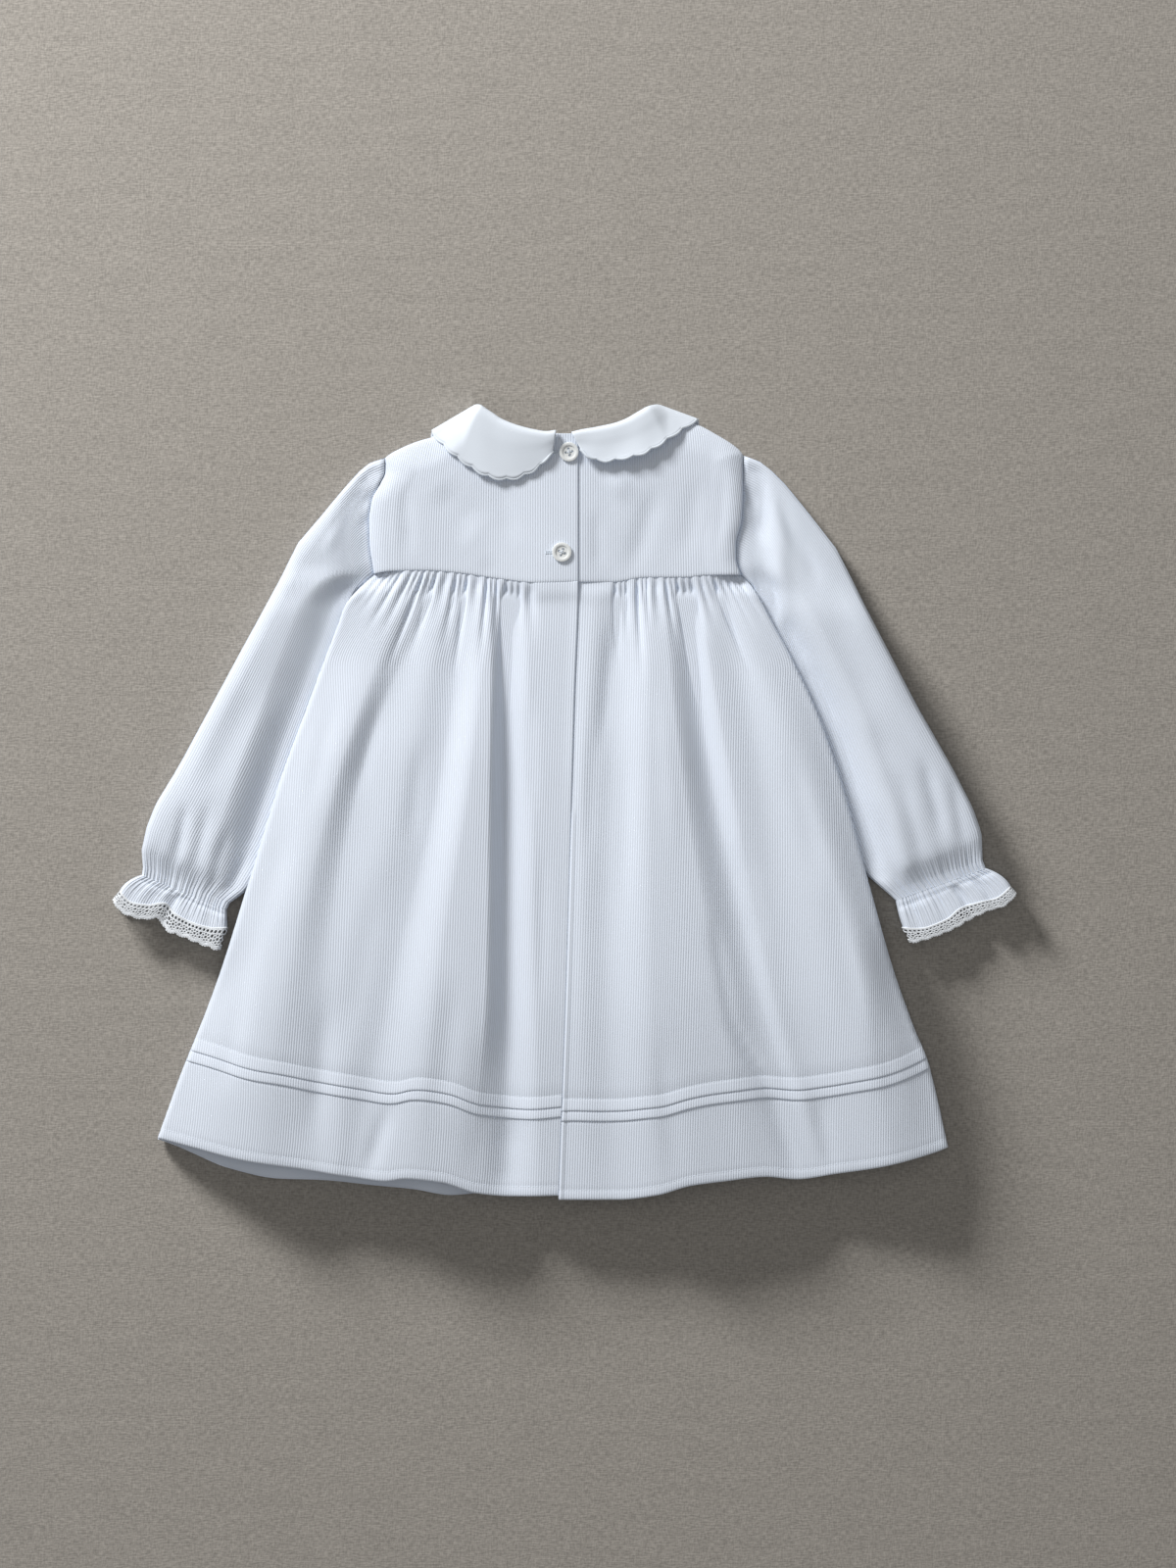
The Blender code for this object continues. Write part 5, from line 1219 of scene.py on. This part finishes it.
def collars(sizes, colours):
    """Both collar halves: smooth cotton with a scalloped, satin-stitched edge."""
    cotton = shared_material("collar_lawn", cotton_material, colours)
    thread = shared_material("satin_thread", thread_material, "satin_thread", colours.thread)
    wall = sizes.collar_wall / MM
    for side in SIDES:
        a, scallop = collar_columns(side, sizes)
        ends = [collar_surface(side, a, np.full(len(a), v))[0][:, :2] for v in (0.0, 1.0)]
        width = np.maximum(np.linalg.norm(ends[1] - ends[0], axis=-1), 6)
        t = np.concatenate([[0, 0.008, 0.02, 0.04, 0.07, 0.11, 0.17], np.linspace(0.24, 1, 16)])
        t = t[None] * (1 + (scallop * sizes.scallop_depth / MM / width)[:, None] * t[None] ** 6)
        top, normal = collar_surface(side, np.broadcast_to(a[:, None], t.shape), t)
        back = a < COLLAR_FOLD - 0.4
        normal[back] = upward(top, 1)[back]
        index = np.arange(top.shape[0] * top.shape[1]).reshape(top.shape[:2])
        rim = np.concatenate([index[0, :-1], index[:-1, -1], index[-1, :0:-1], index[:0:-1, 0]])
        following = np.roll(rim, -1)
        under = rim + index.size
        tris = np.concatenate([
            cell_triangles(index)[:, ::-1], cell_triangles(index + index.size),
            np.stack([rim, following, under], -1), np.stack([following, following + index.size, under], -1)])
        points = np.concatenate([top.reshape(-1, 3), (top - normal * wall).reshape(-1, 3)])
        piece = solid_object(f"collar_{side}_cotton", points, tris, cotton)
        finish_piece(piece, [f"collar_{side}"])
        satin_edge(side, top[:, -1] - normal[:, -1] * 0.5 * wall, thread)


def satin_edge(side, line, thread):
    """Rope of satin stitches over the scalloped edge: a flat tube whose radius ripples once a stitch."""
    run = lengths(line[None])[0]
    at = np.arange(0, run[-1], 0.22)
    path = points_at(at, run, line)
    radius = 0.95 + 0.05 * np.cos(np.pi * np.arange(len(at)))
    points, tris = tubes(path[None], radius[None], sides=8, squash=0.6)
    piece = solid_object(f"collar_{side}_satin_edge", points, tris, thread)
    finish_piece(piece)


def lace_rings():
    """Rings of one repeat of the lace: place along it, place across it, radius; all in millimetres."""
    header = [(1.3 + 2.6 * k, 2.0, 1.2) for k in range(3)]
    petals = np.linspace(0, 2 * np.pi, 8)[:-1]
    flower = [(3.9 + 2.2 * np.cos(v), 5.9 + 1.95 * np.sin(v), 0.95) for v in petals]
    between = [(0.0, 4.6, 1.3), (0.0, 7.1, 1.1)]
    return header + flower + between + [(3.9, 5.9, 1.15), (1.7, 8.3, 0.6), (6.1, 8.3, 0.6)]


def lace_edge(a):
    """Scalloped outer line of the lace, in millimetres from its start."""
    return 8.4 + 1.3 * np.abs(np.sin(np.pi * a / LACE_REPEAT)) ** 0.8


def lace_layer(side, count, radius, top):
    """Threads of the lace's top or under layer: rings that touch, picots past the edge, and five lines."""
    length = count * LACE_REPEAT

    def at(a, b):
        """Points of the layer from millimetres along the lace and across it."""
        return lace_point(side, np.clip(a / length, 0, 1), (b - 0.9) / LACE_DEPTH, top)

    turn = np.linspace(0, 2 * np.pi, 11)[:-1]
    rings = np.array([(a + k * LACE_REPEAT, b, r) for k in range(count) for a, b, r in lace_rings()])
    pitch, past, small = PICOTS
    spots = np.arange(0.5, length, pitch)
    picots = np.stack([spots, lace_edge(spots) + past, np.full(len(spots), small)], -1)
    parts = []
    for circles in (rings, picots):
        a, b, r = circles.T[..., None]
        ring = at(a + r * np.cos(turn), b + r * np.sin(turn))
        parts.append(tubes(ring, radius, sides=4, closed=True, squash=0.6))
    run = np.arange(0, length + 0.01, 0.4)
    for line, thick in ((0 * run + 0.1, 1.5), (0 * run + 0.75, 1.3), (0 * run + 3.25, 0.9),
                        (lace_edge(run) - 0.2, 1.2), (lace_edge(run) + 0.45, 1.3)):
        parts.append(tubes(at(run, line)[None], radius * thick, sides=4, squash=0.6))
    return parts


def laces(sizes, colours):
    """Lace round both cuffs: rings of thread that touch, header threads, and a picot edge."""
    thread = shared_material("lace_thread", thread_material, "lace_thread", colours.lace, 0.75)
    for side in SIDES:
        edges = (np.subtract(*line[side]) for line in (FRILL_END, LACE_END))
        count = int(round(0.5 * sum(np.hypot(*edge) for edge in edges) / LACE_REPEAT))
        layers = [lace_layer(side, count, sizes.lace_thread / MM, top) for top in (True, False)]
        piece = solid_object(f"lace_{side}_thread", *joined(layers[0] + layers[1]), thread)
        finish_piece(piece, [f"lace_{side}"])


def button_profile(radius):
    """Half a button's section as (radius, height): a dished middle, a raised round rim, a plain back."""
    rim_x, rim_z, wide, tall = 0.82 * radius, 1.75, 0.18 * radius, 0.42
    top = [(rim_x - wide * np.cos(v), rim_z + tall * np.sin(v)) for v in np.linspace(0, np.pi, 11)]
    dish = [(0.15, 1.35), (0.3 * radius, 1.35), (0.52 * radius, 1.35), (0.62 * radius, 1.42),
            (0.66 * radius, 1.7)]
    back = [(radius, 1.2), (0.96 * radius, 0.6), (0.85 * radius, 0.25), (0.7 * radius, 0.1), (0.15, 0.1)]
    return np.array(dish + top + back)


def button_mesh(radius, around=48):
    """Points and triangles of a button at the origin: its section turned round, closed at both middles."""
    profile = button_profile(radius)
    turn = np.arange(around) * 2 * np.pi / around
    grid = np.stack([profile[:, :1] * np.cos(turn), profile[:, :1] * np.sin(turn),
                     np.broadcast_to(profile[:, 1:], (len(profile), around))], -1)
    points = np.concatenate([grid.reshape(-1, 3), [(0, 0, profile[0, 1]), (0, 0, profile[-1, 1])]])
    index = np.arange(grid.shape[0] * around).reshape(-1, around)
    index = np.concatenate([index, index[:, :1]], 1)
    middles = [np.stack([index[row, :-1], index[row, 1:], np.full(around, middle)], -1)[:, ::sign]
               for row, middle, sign in ((0, len(points) - 2, -1), (-1, len(points) - 1, 1))]
    return points, np.concatenate([cell_triangles(index)] + middles)


def drill(body, holes, z):
    """Cuts a round hole through a button at each place, then marks its sharp corners to keep them crisp."""
    for x, y in holes:
        bpy.ops.mesh.primitive_cylinder_add(vertices=20, radius=HOLE_RADIUS * MM, depth=8 * MM,
                                            location=(x * MM, y * MM, (z + 1) * MM))
        cutter = bpy.context.object
        cut = body.modifiers.new("Hole", "BOOLEAN")
        cut.object = cutter
        bpy.context.view_layer.update()
        done = bpy.data.meshes.new_from_object(body.evaluated_get(bpy.context.evaluated_depsgraph_get()))
        body.modifiers.clear()
        body.data = done
        bpy.data.objects.remove(cutter, do_unlink=True)
    body.data.name = body.name
    body.data.shade_smooth()
    body.data.set_sharp_from_angle(angle=np.radians(38))


def button_threads(middle, holes):
    """Two pairs of threads that cross between the holes and dive into them, and the shank underneath."""
    strands = []
    for first, second, rise in ((0, 2, 0.0), (1, 3, 0.3)):
        along_it = holes[second] - holes[first]
        aside = np.array([-along_it[1], along_it[0]]) / np.hypot(*along_it) * 0.17
        for shift in (-1, 1):
            v = np.linspace(0.06, 0.94, 15)
            plan = holes[first] + along_it * v[:, None] + shift * aside
            z = middle[2] + 1.3 + (0.42 + rise) * np.sin(np.pi * v) ** 0.5
            z = z - 1.1 * ease(0.40, 0.44, np.abs(v - 0.5))
            strands.append(tubes(np.concatenate([plan, z[:, None]], 1)[None], 0.15, sides=6))
    shank = np.array(middle) + [(0, 0, -0.6), (0, 0, -0.1), (0, 0, 0.3)]
    return strands + [tubes(shank[None], 0.9, sides=10)]


def buttons(sizes, colours):
    """Two turned buttons with a raised rim and four holes, each sewn on with crossed thread."""
    ivory = shared_material("button_ivory", button_material, colours)
    thread = shared_material("sewing_thread", thread_material, "sewing_thread", colours.thread)
    points, tris = button_mesh(sizes.button_radius / MM)
    for name, place in BUTTON_AT.items():
        middle = (*place, float(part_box(f"button_{name}")[0][2]) / MM)
        body = solid_object(f"button_{name}_ivory", points + middle, tris, ivory)
        turned = np.radians(BUTTON_TURN[name] + np.array([45, 135, 225, 315]))
        corner = HOLE_PITCH * np.sqrt(2)
        holes = np.stack([place[0] + corner * np.cos(turned), place[1] + corner * np.sin(turned)], -1)
        drill(body, holes, middle[2])
        finish_piece(body, [f"button_{name}"])
        sewn = solid_object(f"button_{name}_thread", *joined(button_threads(middle, holes)), thread)
        finish_piece(sewn)


def stitch_line(points, sizes):
    """Stitches along a line of points: each a short bead that dips into the cloth at both ends."""
    length, gap = sizes.stitch_length / MM, 0.25
    run = lengths(points[None])[0]
    count = max(1, int(run[-1] / length))
    v = np.linspace(0, 1, 5)
    path = points_at((np.arange(count) * length)[:, None] + gap + (length - 2 * gap) * v, run, points)
    path[..., 2] += 0.12 * np.sin(np.pi * v) - 0.12
    return tubes(path, 0.17 * np.array([0.6, 1, 1, 1, 0.6])[None], sides=5)


def on_path(path, row, offset):
    """A row of a cloth path, raised by what the wales stand over it."""
    line = path[row].copy()
    line[:, 2] += offset
    return line


def stitches(sizes, colours):
    """Rows of stitching on hem, tucks and cuffs, the tack under the slit and the two buttonholes."""
    thread = shared_material("sewing_thread", thread_material, "sewing_thread", colours.thread)
    for side in SIDES:
        path = back_skirt_path(side)[0]
        above = skirt_rows(SKIRT_ROWS)[1]
        rows = [len(above) - 1 - int(np.argmin(np.abs(above[::-1] - level))) for level in STITCHED_ROWS]
        parts = [stitch_line(on_path(path, row, 0.22)[::4], sizes) for row in rows]
        if side == "left":
            parts.append(slit_tack(path, sizes))
        sleeve = sleeve_path(side)[0]
        casing_row = len(sleeve) - len(cuff_edges(side)[2])
        for row in (casing_row, casing_row + 5):
            parts.append(stitch_line(on_path(sleeve, row, 0.3)[12:-12:2], sizes))
        finish_piece(solid_object(f"stitches_{side}", *joined(parts), thread))
    parts = [buttonhole(*BUTTON_AT[name], reach) for name, reach in BUTTONHOLE_REACH.items()]
    finish_piece(solid_object("buttonholes", *joined(parts), thread))


def slit_tack(path, sizes):
    """The short row of stitches across the foot of the placket's slit."""
    row = int(np.argmin(np.abs(path[:, 0, 1] - SLIT_FOOT)))
    x = read(CENTRE_BACK, SLIT_FOOT) + np.linspace(0.5, 12, 12)
    z = np.full(12, path[row, 0, 2] - 0.9)
    return stitch_line(np.stack([x, np.full(12, SLIT_FOOT + 1), z], -1), sizes)


def buttonhole(x0, y0, reach):
    """Bars of satin stitch down both sides of a buttonhole that lies across the button's middle."""
    bars = []
    for v in np.arange(-reach, 6.0, 0.42):
        for sign in (-1, 1):
            y = y0 + sign * np.linspace(0.15, 1.1, 4)
            x = np.full(4, x0 + v)
            z = yoke_height(x, y, True) + YOKE_FACE + np.array([0.15, 0.35, 0.35, 0.1])
            bars.append(np.stack([x, y, z], -1))
    for v in np.linspace(-1.1, 1.1, 6):
        x = x0 - reach + np.linspace(-0.9, 0.1, 4)
        y = np.full(4, y0 + v)
        z = yoke_height(x, y, True) + YOKE_FACE + np.array([0.15, 0.4, 0.4, 0.15])
        bars.append(np.stack([x, y, z], -1))
    return tubes(np.array(bars), 0.2, sides=5)


# ---------------------------------------------------------------- stage

VIEW_CENTRE = (14.9, 11.2)       # in the dress's plan
VIEW_HEIGHT = 992.0              # of the frame, at the dress's mid height
MID_HEIGHT = 12.0
CAMERA_UP = 2400.0
SENSOR = 24.0
FLOOR_HALF = 4.0                 # half the floor's side, in metres
KEY_REACH = 3.4                  # of both key lights along the floor, in metres, and the way they are
KEY_WAY = (-0.61, 0.79)
KEY_COLOUR = (1.0, 0.99, 0.975)
KEYS = {                         # for what, elevation in degrees, width and height in metres, power
    "cloth": (27.0, 1.0, 1.0, 152.0),
    "floor": (8.0, 0.9, 0.3, 445.0),
}
FILL = (2.2, 2.4, 3.0)           # over the cloth alone: height, width and power
FILL_COLOUR = (0.98, 0.99, 1.0)
SKY = 0.28                       # strength of the even light from all round
SKY_COLOUR = (1.0, 0.99, 0.97, 1)


def area_light(name, place, size, energy, colour, lit):
    """A soft rectangular light that points at the origin and lights only the objects of a collection."""
    data = bpy.data.lights.new(name, "AREA")
    data.shape = "RECTANGLE"
    data.size, data.size_y = size
    data.energy = energy
    data.color = colour
    lamp = bpy.data.objects.new(name, data)
    lamp.location = place
    direction = np.subtract((0.0, 0.0, 0.0), place)
    lamp.rotation_euler = Vector(direction / np.linalg.norm(direction)).to_track_quat("-Z", "Y").to_euler()
    lamp.light_linking.receiver_collection = lit
    bpy.context.scene.collection.objects.link(lamp)


def stage(sizes, colours):
    """Floor, lights, world and the camera that looks straight down.

    The key comes in two lights from one side: a lower one for the floor, which gives the long soft shadow,
    and a higher one with a fill from above for the cloth.
    """
    scene = bpy.context.scene
    lit = {name: bpy.data.collections.new(f"{name}_lit") for name in KEYS}
    for obj in scene.collection.all_objects:
        if obj.type == "MESH":
            lit["cloth"].objects.link(obj)
    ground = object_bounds()[0][2]
    corners = [(x * FLOOR_HALF, y * FLOOR_HALF, ground) for x, y in ((-1, -1), (1, -1), (1, 1), (-1, 1))]
    floor = solid_object("floor", np.array(corners) / MM, np.array([(0, 1, 2), (0, 2, 3)]),
                         shared_material("floor", floor_material, colours), smooth=False)
    floor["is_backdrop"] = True
    lit["floor"].objects.link(floor)
    for name, (elevation, wide, tall, power) in KEYS.items():
        height = KEY_REACH * np.tan(np.radians(elevation))
        place = (KEY_WAY[0] * KEY_REACH, KEY_WAY[1] * KEY_REACH, height)
        area_light(f"key_{name}", place, (wide, tall), power, KEY_COLOUR, lit[name])
    height, wide, power = FILL
    area_light("fill", (0.0, 0.0, height), (wide, wide), power, FILL_COLOUR, lit["cloth"])
    world = bpy.data.worlds.new("studio")
    world.use_nodes = True
    set_inputs(world.node_tree.nodes["Background"], {"Color": SKY_COLOUR, "Strength": SKY})
    scene.world = world
    camera = bpy.data.cameras.new("camera")
    camera.sensor_fit = "VERTICAL"
    camera.sensor_height = SENSOR
    camera.lens = SENSOR * (CAMERA_UP - MID_HEIGHT) / VIEW_HEIGHT
    camera.clip_end = 20.0
    eye = bpy.data.objects.new("camera", camera)
    eye.location = (VIEW_CENTRE[0] * MM, VIEW_CENTRE[1] * MM, CAMERA_UP * MM)
    scene.collection.objects.link(eye)
    scene.camera = eye
    scene.view_settings.view_transform = "Standard"
    scene.view_settings.look = "None"


# ---------------------------------------------------------------- add-on

def size_property(label, text, default):
    """A length that a maker would change."""
    return bpy.props.FloatProperty(name=label, description=text, default=default, unit="LENGTH", precision=5)


def colour_property(label, text, default):
    """A colour that a maker would change."""
    return bpy.props.FloatVectorProperty(name=label, description=text, subtype="COLOR", size=3, min=0, max=1,
                                         default=default)


class DressSizes(bpy.types.PropertyGroup):
    """Sizes that a maker would change."""

    wale_pitch: size_property("Wale pitch", "From one wale of the corduroy to the next", 0.0016)
    wale_height: size_property("Wale height", "Height of a wale over its grooves", 0.00028)
    cloth_wall: size_property("Cloth thickness", "Thickness of the corduroy under its wales", 0.0008)
    collar_wall: size_property("Collar thickness", "Thickness of the two layers of collar cotton", 0.001)
    scallop_width: size_property("Scallop width", "Width of one scallop of the collar's edge", 0.0114)
    scallop_depth: size_property(
        "Scallop depth", "How far a scallop stands out from the collar's edge", 0.0016)
    stitch_length: size_property("Stitch length", "Length of one stitch of the sewing machine", 0.0026)
    lace_thread: size_property("Lace thread", "Radius of the lace's thread", 0.00037)
    button_radius: size_property("Button radius", "Radius of a button", 0.0062)


class DressColours(bpy.types.PropertyGroup):
    """Colours that a maker would change."""

    cord: colour_property("Needlecord", "Colour of the corduroy", (0.80, 0.865, 0.975))
    collar: colour_property("Collar", "Colour of the collar's cotton", (0.80, 0.865, 0.955))
    lace: colour_property("Lace", "Colour of the lace", (0.90, 0.94, 0.99))
    thread: colour_property("Thread", "Colour of the sewing thread", (0.79, 0.86, 0.95))
    button: colour_property("Button", "Colour of the buttons", (0.83, 0.855, 0.86))
    floor: colour_property("Floor", "Colour of the floor", (0.365, 0.342, 0.312))


class DressOperator:
    """What the dress's operators share: a maker function that gets the sizes and the colours."""

    bl_options = {"REGISTER", "UNDO"}

    def execute(self, context):
        """Makes the operator's pieces."""
        self.make(context.scene.dress_sizes, context.scene.dress_colours)
        return {"FINISHED"}


class DRESS_OT_back_skirts(DressOperator, bpy.types.Operator):
    """Make both back skirt halves with their gathers and tucks"""

    bl_idname = "dress.back_skirts"
    bl_label = "Back skirts"
    make = staticmethod(back_skirts)


class DRESS_OT_front_skirt(DressOperator, bpy.types.Operator):
    """Make the front skirt that the dress lies on"""

    bl_idname = "dress.front_skirt"
    bl_label = "Front skirt"
    make = staticmethod(front_skirt)


class DRESS_OT_yokes(DressOperator, bpy.types.Operator):
    """Make both back yokes and the front yoke"""

    bl_idname = "dress.yokes"
    bl_label = "Yokes"
    make = staticmethod(yokes)


class DRESS_OT_sleeves(DressOperator, bpy.types.Operator):
    """Make both sleeves with their elastic wrists and frills"""

    bl_idname = "dress.sleeves"
    bl_label = "Sleeves"
    make = staticmethod(sleeves)


class DRESS_OT_collars(DressOperator, bpy.types.Operator):
    """Make both collar halves with their scalloped edges"""

    bl_idname = "dress.collars"
    bl_label = "Collars"
    make = staticmethod(collars)


class DRESS_OT_laces(DressOperator, bpy.types.Operator):
    """Make the lace round both cuffs"""

    bl_idname = "dress.laces"
    bl_label = "Laces"
    make = staticmethod(laces)


class DRESS_OT_buttons(DressOperator, bpy.types.Operator):
    """Make both buttons and the thread that holds them"""

    bl_idname = "dress.buttons"
    bl_label = "Buttons"
    make = staticmethod(buttons)


class DRESS_OT_stitches(DressOperator, bpy.types.Operator):
    """Make the rows of stitching and the buttonholes"""

    bl_idname = "dress.stitches"
    bl_label = "Stitches"
    make = staticmethod(stitches)


class DRESS_OT_stage(DressOperator, bpy.types.Operator):
    """Make the floor, the lights and the camera"""

    bl_idname = "dress.stage"
    bl_label = "Stage"
    make = staticmethod(stage)


PIECES = (DRESS_OT_back_skirts, DRESS_OT_front_skirt, DRESS_OT_yokes, DRESS_OT_sleeves, DRESS_OT_collars,
          DRESS_OT_laces, DRESS_OT_buttons, DRESS_OT_stitches, DRESS_OT_stage)


class DRESS_PT_panel(bpy.types.Panel):
    """Sidebar panel with the dress's sizes, colours and pieces"""

    bl_idname = "DRESS_PT_panel"
    bl_label = "Dress"
    bl_space_type = "VIEW_3D"
    bl_region_type = "UI"
    bl_category = "Dress"

    def draw(self, context):
        """Lists the sizes, the colours and a button for each operator."""
        for group in (context.scene.dress_sizes, context.scene.dress_colours):
            for name in group.__annotations__:
                self.layout.prop(group, name)
        for piece in PIECES:
            self.layout.operator(piece.bl_idname)


CLASSES = (DressSizes, DressColours, *PIECES, DRESS_PT_panel)


def register():
    """Registers the classes and hangs the properties on the scene."""
    for cls in CLASSES:
        bpy.utils.register_class(cls)
    bpy.types.Scene.dress_sizes = bpy.props.PointerProperty(type=DressSizes)
    bpy.types.Scene.dress_colours = bpy.props.PointerProperty(type=DressColours)


def unregister():
    """Takes the properties and the classes away again."""
    del bpy.types.Scene.dress_colours
    del bpy.types.Scene.dress_sizes
    for cls in reversed(CLASSES):
        bpy.utils.unregister_class(cls)


def main():
    register()
    bpy.ops.dress.back_skirts()
    bpy.ops.dress.front_skirt()
    bpy.ops.dress.yokes()
    bpy.ops.dress.sleeves()
    bpy.ops.dress.collars()
    bpy.ops.dress.laces()
    bpy.ops.dress.buttons()
    bpy.ops.dress.stitches()
    bpy.ops.dress.stage()


if __name__ == "__main__":
    main()
